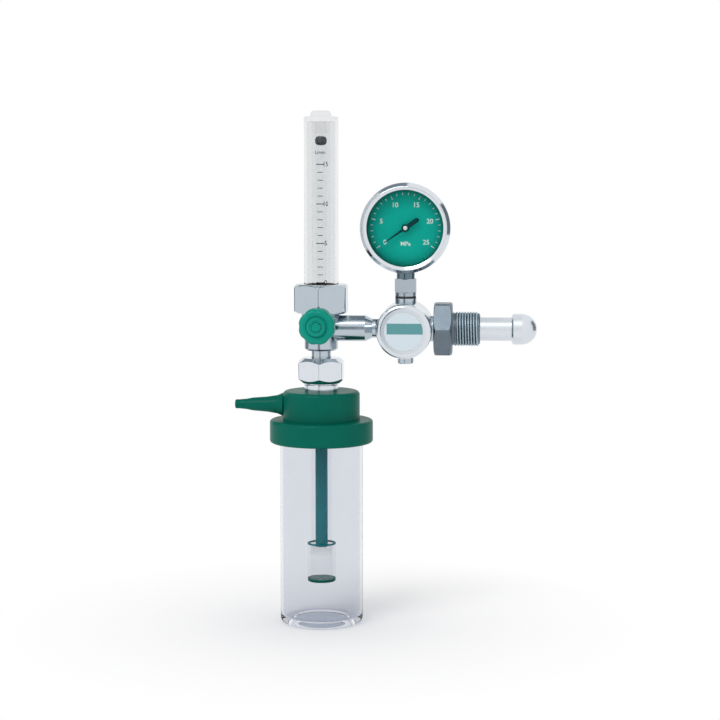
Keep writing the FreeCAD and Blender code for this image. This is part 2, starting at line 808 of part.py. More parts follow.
def tooth_wheel(body, name, teeth, first, count, low, high, centre="0"):
    """Straight-sided teeth: one is padded at the first angle and then turned round the wheel's centre."""
    root = f"({teeth}) * tooth_module / 2 - 1.25 * tooth_module"
    tip = f"({teeth}) * tooth_module / 2 + 0.9 * tooth_module"
    sketch = sketch_on(body, "XY_Plane", name + "_outline", offset=("0", centre, low))
    sketch.setExpression("AttachmentOffset.Rotation.Angle", bound(first))
    outline(sketch, [
        (f"{root} - tooth_module / 2", "-0.9 * tooth_module"),
        (root, "-0.85 * tooth_module"),
        (tip, "-0.35 * tooth_module"),
        (tip, "0.35 * tooth_module"),
        (root, "0.85 * tooth_module"),
        (f"{root} - tooth_module / 2", "0.9 * tooth_module"),
    ])
    tooth = body.newObject("PartDesign::Pad", name)
    tooth.Profile = sketch
    tooth.setExpression("Length", bound(f"({high}) - ({low})"))
    doc.recompute()
    row = body.newObject("PartDesign::PolarPattern", name + "_row")
    row.Originals = [tooth]
    row.Axis = (sketch, ["N_Axis"])
    row.setExpression("Occurrences", bound(count))
    row.setExpression("Angle", bound(f"360 * (({count}) - 1) / ({teeth})"))
    body.Tip = row
    return row


def pinion_arbor():
    """Pointer's spindle with the pinion cut on it."""
    body = new_piece("pinion_arbor", "gauge")
    low = "-gear_back - gear_thickness"
    root = "pinion_teeth * tooth_module / 2 - 1.25 * tooth_module"
    frame_back = "-gear_back - gear_thickness / 2 - plate_gap / 2 - frame_plate"
    turned(body, "arbor", [
        ("0", frame_back),
        ("arbor_radius", frame_back),
        ("arbor_radius", low),
        (root, low),
        (root, "-gear_back"),
        ("arbor_radius", "-gear_back"),
        ("arbor_radius", "pointer_front + pointer_thickness"),
        ("0", "pointer_front + pointer_thickness"),
    ])
    tooth_wheel(body, "teeth", "pinion_teeth", "180 / pinion_teeth", "pinion_teeth", low, "-gear_back")


def sector_gear():
    """Toothed sector below the pinion, on its own pivot, with a tail for the link."""
    body = new_piece("sector_gear", "gauge")
    low = "-gear_back - gear_thickness"
    centre = "(pinion_teeth + sector_teeth) * tooth_module / 2"
    root = "sector_teeth * tooth_module / 2 - 1.25 * tooth_module"
    sketch = sketch_on(body, "XY_Plane", "sector_outline", offset=("0", f"-{centre}", low))
    sketch.setExpression("AttachmentOffset.Rotation.Angle", bound("-sector_lean"))
    outline(sketch, [
        ("-1.4 * arbor_radius", "-sector_tail"),
        ("1.4 * arbor_radius", "-sector_tail"),
        ("2 * arbor_radius", "0"),
        (f"({root}) * sin(27 deg)", f"({root}) * cos(27 deg)"),
        (f"({root}) * sin(13.5 deg)", f"({root}) * cos(13.5 deg)"),
        ("0", root),
        (f"-({root}) * sin(13.5 deg)", f"({root}) * cos(13.5 deg)"),
        (f"-({root}) * sin(27 deg)", f"({root}) * cos(27 deg)"),
        ("-2 * arbor_radius", "0"),
    ])
    plate = body.newObject("PartDesign::Pad", "plate")
    plate.Profile = sketch
    plate.setExpression("Length", bound("gear_thickness"))
    pivot_back = "-gear_back - gear_thickness / 2 - plate_gap / 2 - frame_plate"
    boss(body, "pivot", "arbor_radius", "plate_gap + 2 * frame_plate", start=("0", f"-{centre}", pivot_back))
    tooth_wheel(body, "teeth", "sector_teeth", "90 - sector_lean - 180 * (sector_span - 1) / sector_teeth",
                "sector_span", low, "-gear_back", centre=f"-{centre}")


def movement_frame():
    """Two plates on pillars that carry the arbor and the sector's pivot."""
    body = new_piece("movement_frame", "gauge")
    centre = "(pinion_teeth + sector_teeth) * tooth_module / 2"
    back = "-gear_back - gear_thickness / 2 - plate_gap / 2 - frame_plate"
    front = "-gear_back - gear_thickness / 2 + plate_gap / 2"
    for side, low in (("back", back), ("front", front)):
        sketch = sketch_on(body, "XY_Plane", side + "_outline", offset=("0", "0", low))
        outline(sketch, [
            ("-frame_half_width", f"-{centre} - frame_foot", "frame_plate"),
            ("frame_half_width", f"-{centre} - frame_foot", "frame_plate"),
            ("frame_half_width", "frame_head", "frame_plate"),
            ("-frame_half_width", "frame_head", "frame_plate"),
        ])
        plate = body.newObject("PartDesign::Pad", side + "_plate")
        plate.Profile = sketch
        plate.setExpression("Length", bound("frame_plate"))
        if side == "back":
            height = "plate_gap + 2 * frame_plate"
            boss(body, "head_pillar", "frame_plate", height,
                 start=("0", "frame_head - 1.3 * frame_plate", low))
            foot = f"-{centre} - frame_foot + 1.3 * frame_plate"
            boss(body, "left_pillar", "frame_plate", height,
                 start=("-frame_half_width + 1.3 * frame_plate", foot, low))
            boss(body, "right_pillar", "frame_plate", height,
                 start=("frame_half_width - 1.3 * frame_plate", foot, low))
    span = "plate_gap + 2 * frame_plate"
    drill(body, "arbor_bearing", "arbor_radius + running_gap / 2", span, start=("0", "0", back))
    drill(body, "pivot_bearing", "arbor_radius + running_gap / 2", span, start=("0", f"-{centre}", back))


def bourdon_tube():
    """Flattened tube bent to a C that opens as the pressure rises."""
    body = new_piece("bourdon_tube", "gauge")
    start = FreeCAD.Rotation(Vector(0, 0, 1), -number("bourdon_start_angle"))
    body.Placement = FreeCAD.Placement(Vector(0, 0, 0), toward_viewer * start)
    sketch = sketch_on(body, "XZ_Plane", "section")
    for inset, bend in (("0", "bourdon_section / 2.2"),
                        ("bourdon_skin", "bourdon_section / 2.2 - bourdon_skin")):
        inner = f"case_radius - bourdon_inset - bourdon_section / 2 + {inset}"
        outer = f"case_radius - bourdon_inset + bourdon_section / 2 - {inset}"
        front = f"-bourdon_front - {inset}"
        back = f"-bourdon_front - bourdon_depth + {inset}"
        outline(sketch,
                [(inner, back, bend), (outer, back, bend), (outer, front, bend), (inner, front, bend)])
    sweep = body.newObject("PartDesign::Revolution", "bend")
    sweep.Profile = sketch
    sweep.ReferenceAxis = (sketch, ["V_Axis"])
    sweep.setExpression("Angle", bound("bourdon_sweep_angle"))


def gauge_socket():
    """Stem of the gauge: thread, collar and hexagon outside, block for tube and movement inside."""
    body = new_piece("gauge_socket", "gauge_stem")
    seat = f"({gauge_face} + washer_thickness)"
    hex_low = f"{seat} + socket_collar"
    hex_high = f"{hex_low} + socket_hex"
    inside = "(gauge_height - case_radius + case_wall)"
    foot = "(gauge_height - (pinion_teeth + sector_teeth) * tooth_module / 2 - frame_foot)"
    turned(body, "stem", [
        ("0", f"{seat} - socket_thread_length"),
        ("gauge_port - screwed_gap", f"{seat} - socket_thread_length"),
        ("gauge_port - screwed_gap", seat),
        ("socket_flats / 2", seat),
        ("socket_flats / 2", hex_low),
        ("socket_neck_radius - running_gap", hex_high),
        ("socket_neck_radius - running_gap", inside),
        ("0", inside),
    ])
    hexagon(body, "hexagon", "socket_flats", hex_low, "socket_hex", chamfers=("top", "bottom"))
    block = body.newObject("PartDesign::AdditiveBox", "block")
    block.setExpression("Length", bound("block_width"))
    block.setExpression("Width", bound("block_depth"))
    block.setExpression("Height", bound(f"{foot} - {inside} - block_lift"))
    block.setExpression("Placement.Base.x", bound("-block_width / 2"))
    block.setExpression("Placement.Base.y", bound("-block_front"))
    block.setExpression("Placement.Base.z", bound(f"{inside} + block_lift"))
    boss(body, "waist", "block_front", "block_lift + case_wall",
         start=("0", "0", f"{inside} - case_wall / 2"))
    drill(body, "gas_way", "link_bore", f"{inside} - {seat} + socket_thread_length + block_depth / 3",
          start=("0", "0", f"{seat} - socket_thread_length"))


def gauge_washer():
    disc("gauge_washer", "gauge_stem", "gauge_boss_radius - free_gap", gauge_face,
         f"{gauge_face} + washer_thickness", bore="gauge_port")


def flowmeter_body():
    """Valve block: arm in from the side, needle from the front, tube on top, outlet tail below."""
    body = new_piece("flowmeter_body", "flow")
    end = "-tail_flange_top - tail_flange"
    turned(body, "block", [
        ("0", end),
        ("tail_flange_radius", end),
        ("tail_flange_radius", "-tail_flange_top"),
        ("tail_radius", "-tail_flange_top"),
        ("tail_radius", "-barrel_bottom"),
        ("barrel_radius - barrel_chamfer", "-barrel_bottom"),
        ("barrel_radius", "-barrel_bottom + barrel_chamfer"),
        ("barrel_radius", "boss_step"),
        ("boss_radius", "boss_step + boss_radius - barrel_radius"),
        ("boss_radius", "body_top"),
        ("0", "body_top"),
    ])
    boss(body, "side_face", "arm_radius", "side_boss", along="+X")
    boss(body, "needle_face", "needle_boss_radius", "needle_boss", start=("0", "0", "knob_height"),
         along="-Y")
    drill(body, "tube_socket", "meter_radius + running_gap", "body_top - tube_socket_floor",
          start=("0", "0", "tube_socket_floor"))
    drill(body, "tube_way", "needle_orifice", "tube_socket_floor - knob_height",
          start=("0", "0", "knob_height"))
    drill(body, "return_way", "needle_orifice", "body_top + return_floor",
          start=("-return_offset", "0", "-return_floor"))
    drill(body, "return_cross", "needle_orifice", "return_offset", start=("0", "0", "-return_floor"),
          along="-X")
    drill(body, "outlet_way", "outlet_bore", "tail_flange_top + tail_flange - return_floor",
          start=("0", "0", "-return_floor"), along="-Z")
    drill(body, "arm_socket", "arm_port", "arm_thread_length + free_gap",
          start=("side_boss - arm_thread_length - free_gap", "0", "0"), along="+X")
    drill(body, "arm_way", "gas_bore", "side_boss", along="+X")
    drill(body, "needle_feed", "link_bore", "2 * gas_bore", start=("gas_bore", "0", "0"), along="-Y")
    drill(body, "needle_chamber", "needle_bore", "needle_boss - needle_seat",
          start=("0", "-needle_seat", "knob_height"), along="-Y")
    drill(body, "orifice", "needle_orifice", "needle_seat", start=("0", "0", "knob_height"), along="-Y")


def needle_spindle():
    """Needle with its cone, adjusting thread, ring groove and the shank that carries the knob."""
    body = new_piece("needle_spindle", "needle")
    groove = "needle_boss - gland_spigot + ring_inset"
    half = "(spindle_ring_section + running_gap / 2)"
    shank = "needle_boss + gland_head + free_gap"
    turned(body, "spindle", [
        ("0", "needle_seat * 0.6"),
        ("needle_orifice * 0.4", "needle_seat * 0.6"),
        ("shank_radius", "needle_seat * 2"),
        ("spindle_thread", "needle_seat * 2"),
        ("spindle_thread", "needle_seat * 2 + spindle_thread_length"),
        ("spindle_radius", "needle_seat * 2 + spindle_thread_length"),
        ("spindle_radius", f"{groove} - {half}"),
        ("spindle_radius - 2 * spindle_ring_section", f"{groove} - {half}"),
        ("spindle_radius - 2 * spindle_ring_section", f"{groove} + {half}"),
        ("spindle_radius", f"{groove} + {half}"),
        ("spindle_radius", shank),
        ("shank_radius", shank),
        ("shank_radius", "knob_back + knob_shank"),
        ("0", "knob_back + knob_shank"),
    ])
    drill(body, "screw_hole", "knob_screw_radius + running_gap / 2", "knob_screw_length",
          start=("0", "0", "knob_back + knob_shank - knob_screw_length"))


def spindle_ring():
    o_ring("spindle_ring", "needle", "spindle_radius - spindle_ring_section + running_gap / 2",
           "spindle_ring_section", "needle_boss - gland_spigot + ring_inset")


def gland_nut():
    """Hexagon gland that holds the spindle in the valve block."""
    body = new_piece("gland_nut", "needle")
    low = "needle_boss - gland_spigot"
    turned(body, "spigot", [
        ("0", low),
        ("needle_bore - running_gap", low),
        ("needle_bore - running_gap", "needle_boss"),
        ("0", "needle_boss"),
    ])
    hexagon(body, "hexagon", "gland_flats", "needle_boss", "gland_head", corner="0")
    drill(body, "bore", "spindle_radius + running_gap", "gland_spigot + gland_head", start=("0", "0", low))


def flow_knob():
    """Fluted hand knob with a raised hub, a ring recess and a well for its screw."""
    body = new_piece("flow_knob", "needle")
    rim = "knob_back + knob_depth - knob_hub_step"
    front = "knob_back + knob_depth"
    turned(body, "knob", [
        ("0", "knob_back"),
        ("knob_radius", "knob_back", "edge_round"),
        ("knob_radius", rim, "knob_shoulder"),
        ("knob_hub_radius", rim),
        ("knob_hub_radius", front, "edge_round"),
        ("0", front),
    ])
    flute = drill(body, "flute", "flute_radius", "knob_depth",
                  start=("0", "knob_radius + flute_radius - flute_depth", "knob_back"))
    doc.recompute()
    row = body.newObject("PartDesign::PolarPattern", "flutes")
    row.Originals = [flute]
    row.Axis = (body.Origin.OriginFeatures[2], [""])
    row.Angle = 360
    row.setExpression("Occurrences", bound("knob_flutes"))
    body.Tip = row
    turned(body, "ring_recess", [
        ("knob_cap_radius + edge_round", f"{front} - edge_round"),
        ("knob_hub_radius - 2 * edge_round", f"{front} - edge_round"),
        ("knob_hub_radius - 2 * edge_round", front),
        ("knob_cap_radius + edge_round", front),
    ], cut=True)
    drill(body, "shank_bore", "shank_radius + running_gap / 2", "knob_shank", start=("0", "0", "knob_back"))
    drill(body, "screw_bore", "knob_screw_radius + running_gap / 2", "knob_depth",
          start=("0", "0", "knob_back"))
    drill(body, "cap_well", "knob_cap_radius", "knob_depth - knob_shank - knob_web",
          start=("0", "0", "knob_back + knob_shank + knob_web"))


def knob_screw():
    """Pan-head screw that holds the knob to the spindle."""
    body = new_piece("knob_screw", "needle")
    seat = "knob_back + knob_shank + knob_web"
    turned(body, "screw", [
        ("0", f"{seat} - knob_web - knob_screw_length + free_gap"),
        ("knob_screw_radius", f"{seat} - knob_web - knob_screw_length + free_gap"),
        ("knob_screw_radius", seat),
        ("knob_screw_head", seat),
        ("knob_screw_head", f"{seat} + knob_screw_radius", "edge_round / 2"),
        ("0", f"{seat} + knob_screw_radius"),
    ])


def knob_cap():
    """Plug that closes the well in the middle of the knob."""
    front = "knob_back + knob_depth"
    disc("knob_cap", "needle", "knob_cap_radius", f"{front} - 2 * edge_round", front)


def metering_tube():
    """Clear tube whose bore opens upwards, so that the ball rises with the flow."""
    body = new_piece("metering_tube", "flow")
    low = "tube_socket_floor + meter_seal"
    turned(body, "tube", [
        ("meter_bore_low", low),
        ("meter_radius", low),
        ("meter_radius", "meter_top"),
        ("meter_bore_high", "meter_top"),
        ("meter_bore_high", "top_stop_low"),
        ("meter_bore_low", f"{low} + bottom_stop_length"),
    ])


def tube_seal():
    disc("tube_seal", "flow", "meter_radius", "tube_socket_floor", "tube_socket_floor + meter_seal",
         bore="meter_bore_low - free_gap")


def bottom_stop():
    low = "tube_socket_floor + meter_seal"
    disc("bottom_stop", "flow", "meter_bore_low - running_gap", low, f"{low} + bottom_stop_length",
         bore="needle_orifice")


def top_stop():
    disc("top_stop", "flow", "meter_bore_high - running_gap", "top_stop_low",
         "top_stop_low + top_stop_length",
         bore="needle_orifice")


def float_ball():
    body = new_piece("float_ball", "flow")
    ball = body.newObject("PartDesign::AdditiveSphere", "ball")
    ball.setExpression("Radius", bound("ball_radius"))
    ball.setExpression("Placement.Base.z", bound(
        "tube_socket_floor + meter_seal + bottom_stop_length + ball_radius + running_gap"))


def tube_cushion():
    """Soft ring that holds the metering tube down against the cover's ceiling."""
    disc("tube_cushion", "flow", "meter_radius", "meter_top", "cover_top - cover_ceiling",
         bore="meter_bore_high")


def tube_cover():
    """Moulded outer cover with a flange under the collar nut and a domed button on top."""
    body = new_piece("tube_cover", "flow")
    low = "body_top + cover_seal"
    turned(body, "cover", [
        ("cover_radius - cover_wall", low),
        ("cover_flange_radius", low),
        ("cover_flange_radius", f"{low} + cover_flange"),
        ("cover_radius", f"{low} + cover_flange"),
        ("cover_radius", "cover_top", "cover_wall / 1.5"),
        ("cover_button_radius", "cover_top"),
        ("cover_button_radius", "cover_top + cover_button", "cover_button * 0.7"),
        ("0", "cover_top + cover_button"),
        ("0", "cover_top - cover_ceiling"),
        ("cover_radius - cover_wall", "cover_top - cover_ceiling", "edge_round"),
    ])


def cover_seal():
    disc("cover_seal", "flow", "cover_flange_radius", "body_top", "body_top + cover_seal",
         bore="cover_radius - cover_wall")


def collar_nut():
    """Hexagon that draws the cover's flange down on the valve block."""
    body = new_piece("collar_nut", "flow")
    shelf = "body_top + cover_seal + cover_flange"
    hexagon(body, "hexagon", "collar_flats", "collar_low", "collar_length", chamfers=("top", "bottom"))
    drill(body, "thread_bore", "boss_radius + running_gap", f"{shelf} - collar_low",
          start=("0", "0", "collar_low"))
    drill(body, "cover_bore", "cover_radius + running_gap", "collar_length", start=("0", "0", "collar_low"))


def union_nut():
    """Captive hexagon that draws the humidifier up on the tail."""
    body = new_piece("union_nut", "flow")
    hexagon(body, "hexagon", "union_flats", "-union_top - union_length", "union_length",
            chamfers=("top", "bottom"))
    shelf = "union_length - (tail_flange_top - union_top) + running_gap"
    drill(body, "thread_bore", "nipple_thread + running_gap", shelf,
          start=("0", "0", "-union_top - union_length"))
    drill(body, "tail_bore", "tail_radius + running_gap", "union_length",
          start=("0", "0", "-union_top - union_length"))


def union_washer():
    low = "-tail_flange_top - tail_flange - union_seal"
    disc("union_washer", "flow", "tail_flange_radius", low, f"{low} + union_seal", bore="outlet_bore")


def cap_nipple():
    """Metal insert of the cap: thread for the union nut, flange on the cap, spigot for the dip tube."""
    body = new_piece("cap_nipple", "flow")
    top = "-tail_flange_top - tail_flange - union_seal"
    shank_end = "-cap_top - cap_wall - backing_nut"
    turned(body, "nipple", [
        ("spigot_radius / 2", f"{shank_end} - spigot_length"),
        ("spigot_radius", f"{shank_end} - spigot_length"),
        ("spigot_radius", shank_end),
        ("nipple_shank", shank_end),
        ("nipple_shank", "-cap_top"),
        ("nipple_flange_radius", "-cap_top"),
        ("nipple_flange_radius", "-cap_top + nipple_flange", "small_chamfer"),
        ("nipple_thread", "-cap_top + nipple_flange"),
        ("nipple_thread", top),
        ("nipple_bore", top),
        ("nipple_bore", f"{shank_end} + backing_nut"),
        ("spigot_radius / 2", f"{shank_end} + backing_nut / 2"),
    ])


def nipple_nut():
    body = new_piece("nipple_nut", "flow")
    low = "-cap_top - cap_wall - backing_nut"
    hexagon(body, "hexagon", "backing_nut_flats", low, "backing_nut", chamfers=("bottom",))
    drill(body, "bore", "nipple_shank + running_gap", "backing_nut", start=("0", "0", low))


def humidifier_cap():
    """Moulded cap: upper chamber, threaded skirt and the outlet spout."""
    body = new_piece("humidifier_cap", "flow")
    ceiling = "-skirt_top - cap_wall"
    turned(body, "shell", [
        ("nipple_shank + running_gap", "-cap_top - cap_wall"),
        ("cap_radius - cap_wall", "-cap_top - cap_wall", "cap_edge / 2"),
        ("cap_radius - cap_wall", ceiling),
        (f"{neck_radius} + free_gap", ceiling),
        (f"{neck_radius} + free_gap", "-skirt_bottom"),
        ("skirt_radius", "-skirt_bottom", "skirt_edge"),
        ("skirt_radius", "-skirt_top", "skirt_edge"),
        ("cap_radius", "-skirt_top"),
        ("cap_radius", "-cap_top", "cap_edge"),
        ("nipple_shank + running_gap", "-cap_top"),
    ])
    sketch = sketch_on(body, "XZ_Plane", "spout_outline", offset=("0", "-spout_height", "0"))
    inner = "-cap_radius + cap_wall / 2"
    outline(sketch, [
        ("-spout_tip", "0"),
        ("-spout_tip", "spout_tip_radius - small_chamfer"),
        ("-spout_tip + small_chamfer", "spout_tip_radius"),
        ("-spout_tip + spout_tip_length", "spout_tip_radius"),
        ("-spout_tip + spout_tip_length + small_chamfer", "spout_mid_radius"),
        ("-spout_root", "spout_root_radius"),
        ("-cap_radius - spout_boss_length", "spout_boss", "edge_round"),
        (inner, "spout_boss"),
        (inner, "0"),
    ])
    spout = body.newObject("PartDesign::Revolution", "spout")
    spout.Profile = sketch
    spout.ReferenceAxis = (sketch, ["H_Axis"])
    spout.Angle = 360
    drill(body, "spout_way", "spout_bore", "spout_tip - cap_radius + 2 * cap_wall",
          start=("-cap_radius + 2 * cap_wall", "0", "-spout_height"), along="-X")


def dip_tube():
    disc("dip_tube", "flow", "dip_radius", "-dip_bottom", "-cap_top - cap_wall - backing_nut",
         bore="dip_bore")


def bubbler_sleeve():
    disc("bubbler_sleeve", "flow", "sleeve_radius", "-sleeve_bottom", "-cap_top - cap_wall - backing_nut",
         bore="sleeve_bore")


def diffuser():
    disc("diffuser", "flow", "diffuser_radius", "-diffuser_bottom + ring_thickness", "-diffuser_top",
         bore="sleeve_radius + running_gap")


def diffuser_ring():
    """Perforated end of the diffuser that breaks the gas into bubbles."""
    body = new_piece("diffuser_ring", "flow")
    turned(body, "ring", [
        ("ring_hole", "-diffuser_bottom"),
        ("diffuser_radius", "-diffuser_bottom", "edge_round"),
        ("diffuser_radius", "-diffuser_bottom + ring_thickness"),
        ("ring_hole", "-diffuser_bottom + ring_thickness"),
    ])
    hole = drill(body, "hole", "ring_hole", "ring_thickness",
                 start=("ring_hole_circle", "0", "-diffuser_bottom"))
    doc.recompute()
    row = body.newObject("PartDesign::PolarPattern", "holes")
    row.Originals = [hole]
    row.Axis = (body.Origin.OriginFeatures[2], [""])
    row.Angle = 360
    row.setExpression("Occurrences", bound("ring_holes"))
    body.Tip = row


def bottle_gasket():
    high = "-skirt_top - cap_wall"
    disc("bottle_gasket", "flow", neck_radius, f"{high} - gasket_thickness", high,
         bore=f"{neck_radius} - neck_wall")


def bottle():
    """Clear bottle with a wide threaded neck, a pushed-up base and a round foot."""
    body = new_piece("bottle", "flow")
    rim = "-skirt_top - cap_wall - gasket_thickness"
    floor = "-bottle_bottom + bottle_push_up + bottle_base"
    inner = "bottle_radius - bottle_wall"
    turned(body, "wall", [
        ("0", "-bottle_bottom + bottle_push_up"),
        ("bottle_foot - bottle_push_up", "-bottle_bottom + bottle_push_up"),
        ("bottle_foot", "-bottle_bottom"),
        ("bottle_radius", "-bottle_bottom", "bottle_corner"),
        ("bottle_radius", "-neck_bottom - neck_wall"),
        (neck_radius, "-neck_bottom"),
        (neck_radius, rim),
        (f"{neck_radius} - neck_wall", rim),
        (f"{neck_radius} - neck_wall", "-neck_bottom + neck_wall / 2"),
        (inner, "-neck_bottom - neck_wall * 1.2"),
        (inner, floor, "bottle_corner - bottle_wall"),
        ("0", floor),
    ])


# Every piece is made in turn.
inlet_stem()
inlet_filter()
inlet_nut()
nut_ring()
reducer_body()
bonnet()
label_plate()
diaphragm()
diaphragm_plate()
main_spring()
valve_poppet()
poppet_spring()
valve_plug()
relief_cap()
relief_poppet()
relief_spring()
outlet_arm()
arm_seal()
gauge_case()
gauge_bezel()
gauge_window()
gauge_dial()
gauge_pointer()
pinion_arbor()
sector_gear()
movement_frame()
bourdon_tube()
gauge_socket()
gauge_washer()
flowmeter_body()
needle_spindle()
spindle_ring()
gland_nut()
flow_knob()
knob_screw()
knob_cap()
metering_tube()
tube_seal()
bottom_stop()
top_stop()
float_ball()
tube_cushion()
tube_cover()
cover_seal()
collar_nut()
union_nut()
union_washer()
cap_nipple()
nipple_nut()
humidifier_cap()
dip_tube()
bubbler_sleeve()
diffuser()
diffuser_ring()
bottle_gasket()
bottle()
doc.recompute()

# Nothing is written unless every object is sound.
for item in doc.Objects:
    if "Invalid" in item.State or "Error" in item.State:
        raise RuntimeError(f"{item.Name} of {item.Label} failed: {item.State}")
for piece in pieces:
    if piece.Shape.isNull() or not piece.Shape.isValid():
        raise RuntimeError(f"{piece.Label} has no sound shape")
for piece in pieces:
    piece.Shape.exportStep(f"parts/{piece.Label}.step")
    print(piece.Label, len(piece.Shape.Solids), round(piece.Shape.Volume, 2))
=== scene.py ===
"""Looks of a medical oxygen regulator: metal, plastics, thread, prints, light and camera."""

from math import atan2, cos, pi, radians, sin, tan

import bmesh
import bpy
from mathutils import Matrix, Vector


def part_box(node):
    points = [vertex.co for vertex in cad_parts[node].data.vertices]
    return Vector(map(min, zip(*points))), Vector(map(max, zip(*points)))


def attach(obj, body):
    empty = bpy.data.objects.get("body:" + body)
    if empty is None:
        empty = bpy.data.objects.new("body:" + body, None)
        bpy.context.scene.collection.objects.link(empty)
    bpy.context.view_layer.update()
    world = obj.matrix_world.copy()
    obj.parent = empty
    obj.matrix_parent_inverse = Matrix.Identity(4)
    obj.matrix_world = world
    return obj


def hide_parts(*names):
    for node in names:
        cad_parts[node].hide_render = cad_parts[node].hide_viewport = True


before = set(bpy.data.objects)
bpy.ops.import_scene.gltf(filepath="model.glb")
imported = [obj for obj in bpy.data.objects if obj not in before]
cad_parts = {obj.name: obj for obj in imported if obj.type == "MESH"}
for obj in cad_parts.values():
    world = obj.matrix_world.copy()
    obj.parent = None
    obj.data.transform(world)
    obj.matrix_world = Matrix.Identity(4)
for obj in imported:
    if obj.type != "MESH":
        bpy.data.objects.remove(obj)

bl_info = {
    "name": "Oxygen Regulator",
    "version": (1, 0, 0),
    "blender": (4, 5, 0),
    "location": "3D View > Sidebar > Regulator",
    "description": "Dress the oxygen regulator in its finishes and add its nuts, thread and printed scales",
    "category": "Object",
}

MM = 0.001


def middle_of(node):
    """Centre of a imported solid's box."""
    return Vector([(low + high) / 2 for low, high in zip(*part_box(node))])


FLOW_AXIS = sum(corner.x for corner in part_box("metering_tube")) / 2
GAUGE_AXIS = middle_of("gauge_dial")
KNOB_AXIS = middle_of("knob_cap")

# From profiles that are drawn in millimetres with their height along Z to their places on the part.
UPRIGHT = Matrix.Translation((FLOW_AXIS, 0, 0)) @ Matrix.Scale(MM, 4)
TOWARD_CYLINDER = Matrix.Rotation(radians(90), 4, "Y") @ Matrix.Scale(MM, 4)
TOWARD_VIEWER = Matrix.Rotation(radians(90), 4, "X") @ Matrix.Scale(MM, 4)

# In millimetres: how close to its axis a solid profile starts, how far from an arc a flat's first point is,
# and how thick printed marks are.
CORE = 0.05
HOLD = 0.12
INK = 0.03

# Faces that meet at more than this angle show a sharp edge.
SHARP_FROM = radians(32)

# The dial's zero, anticlockwise from three o'clock, and how far its scale runs.
DIAL_START, DIAL_SWEEP = radians(215), radians(250)


def shown(red, green, blue):
    """Linear colour of a screen colour given from 0 to 255, by the sRGB curve."""
    return tuple(((part / 255 + 0.055) / 1.055) ** 2.4 if part > 10 else part / 3295
                 for part in (red, green, blue))


# ---------------------------------------------------------------- sizes and colours a user would change

def length(name, description, default):
    return bpy.props.FloatProperty(name=name, description=description, default=default * MM,
                                   min=0, subtype="DISTANCE", unit="LENGTH", precision=5)


def turn(name, description, default):
    return bpy.props.FloatProperty(name=name, description=description, default=radians(default),
                                   subtype="ANGLE", unit="ROTATION")


def share(name, description, default):
    return bpy.props.FloatProperty(name=name, description=description, default=default,
                                   min=0, subtype="FACTOR")


def colour(name, description, *screen):
    return bpy.props.FloatVectorProperty(name=name, description=description, default=shown(*screen),
                                         subtype="COLOR", size=3, min=0, max=1)


class RegulatorSizes(bpy.types.PropertyGroup):
    """Sizes of the dressed pieces."""
    nut_corner: length("Nut corner", "Rounding of the upright corners of the large hexagons", 2.3)
    nut_edge: length("Nut edge", "Rounding between a hexagon's flats and its turned ends", 0.25)
    thread_pitch: length("Thread pitch", "Distance from crest to crest of the inlet thread", 1.814)
    thread_depth: length("Thread depth", "Height of the inlet thread's ridge", 0.95)
    knob_flute: length("Knob flute", "Depth of the flutes round the flow knob", 0.55)
    spout_height: length("Spout height", "How far the outlet spout lies under the gas axis", 51.5)
    tick_length: length("Gauge tick", "Length of the short marks on the gauge's dial", 1.5)
    tick_width: length("Gauge tick width", "Width of the marks on the gauge's dial", 0.35)
    numeral_height: length("Gauge numeral", "Height of the numbers on the gauge's dial", 4.4)
    stop_edge: length("Stop edge", "Rounding of the bead at the top of the metering tube", 2.6)
    scale_line: length("Flow mark", "Thickness of the marks on the metering tube", 0.45)
    scale_number: length("Flow number", "Height of the numbers on the metering tube", 4.3)


class RegulatorColours(bpy.types.PropertyGroup):
    """Colours of the finishes."""
    chrome: colour("Chrome", "Tone of the polished chrome", 220, 226, 232)
    body: colour("Body chrome", "Tone of the greyer chrome of the bodies", 186, 197, 205)
    nickel: colour("Nickel", "Tone of the satin nickel of the inlet nut", 116, 128, 138)
    thread: colour("Thread", "Tone of the cut thread", 176, 194, 204)
    moulding: colour("Moulding", "Green of the humidifier's cap", 0, 97, 82)
    knob: colour("Knob", "Green of the flow knob", 10, 143, 125)
    tube: colour("Dip tube", "Green of the dip tube", 0, 122, 126)
    dial: colour("Dial", "Green of the gauge's dial", 0, 178, 160)
    # Painted shade: the darker green at the dial's rim stands in for the shade of the gauge's case.
    dial_rim: colour("Dial rim", "Darker green at the rim of the dial", 0, 112, 98)
    band: colour("Label band", "Green of the bare band on the label", 84, 150, 154)
    film: colour("Label film", "Pale film of the label", 208, 221, 229)
    bottle: colour("Bottle", "Tint of the clear bottle", 235, 237, 241)
    cover: colour("Cover", "Tint of the cover over the metering tube", 239, 240, 241)
    crown: colour("Cover top", "Tint of the thick closed top of the cover", 232, 233, 234)
    glass: colour("Glass", "Tint of the metering tube and the gauge's window", 250, 251, 251)


class RegulatorStage(bpy.types.PropertyGroup):
    """Camera and light."""
    azimuth: turn("Camera azimuth", "How far the camera stands round towards the cylinder's side", 4.5)
    elevation: turn("Camera elevation", "How far the camera stands above the horizon", 5.85)
    distance: bpy.props.FloatProperty(name="Camera distance", description="From the camera to the object",
                                      default=1.333, subtype="DISTANCE", unit="LENGTH")
    sky: share("Sky", "Strength of the even light from all round", 0.74)
    sun: share("Sun", "Strength of the main lamp", 1.0)


# ---------------------------------------------------------------- node trees

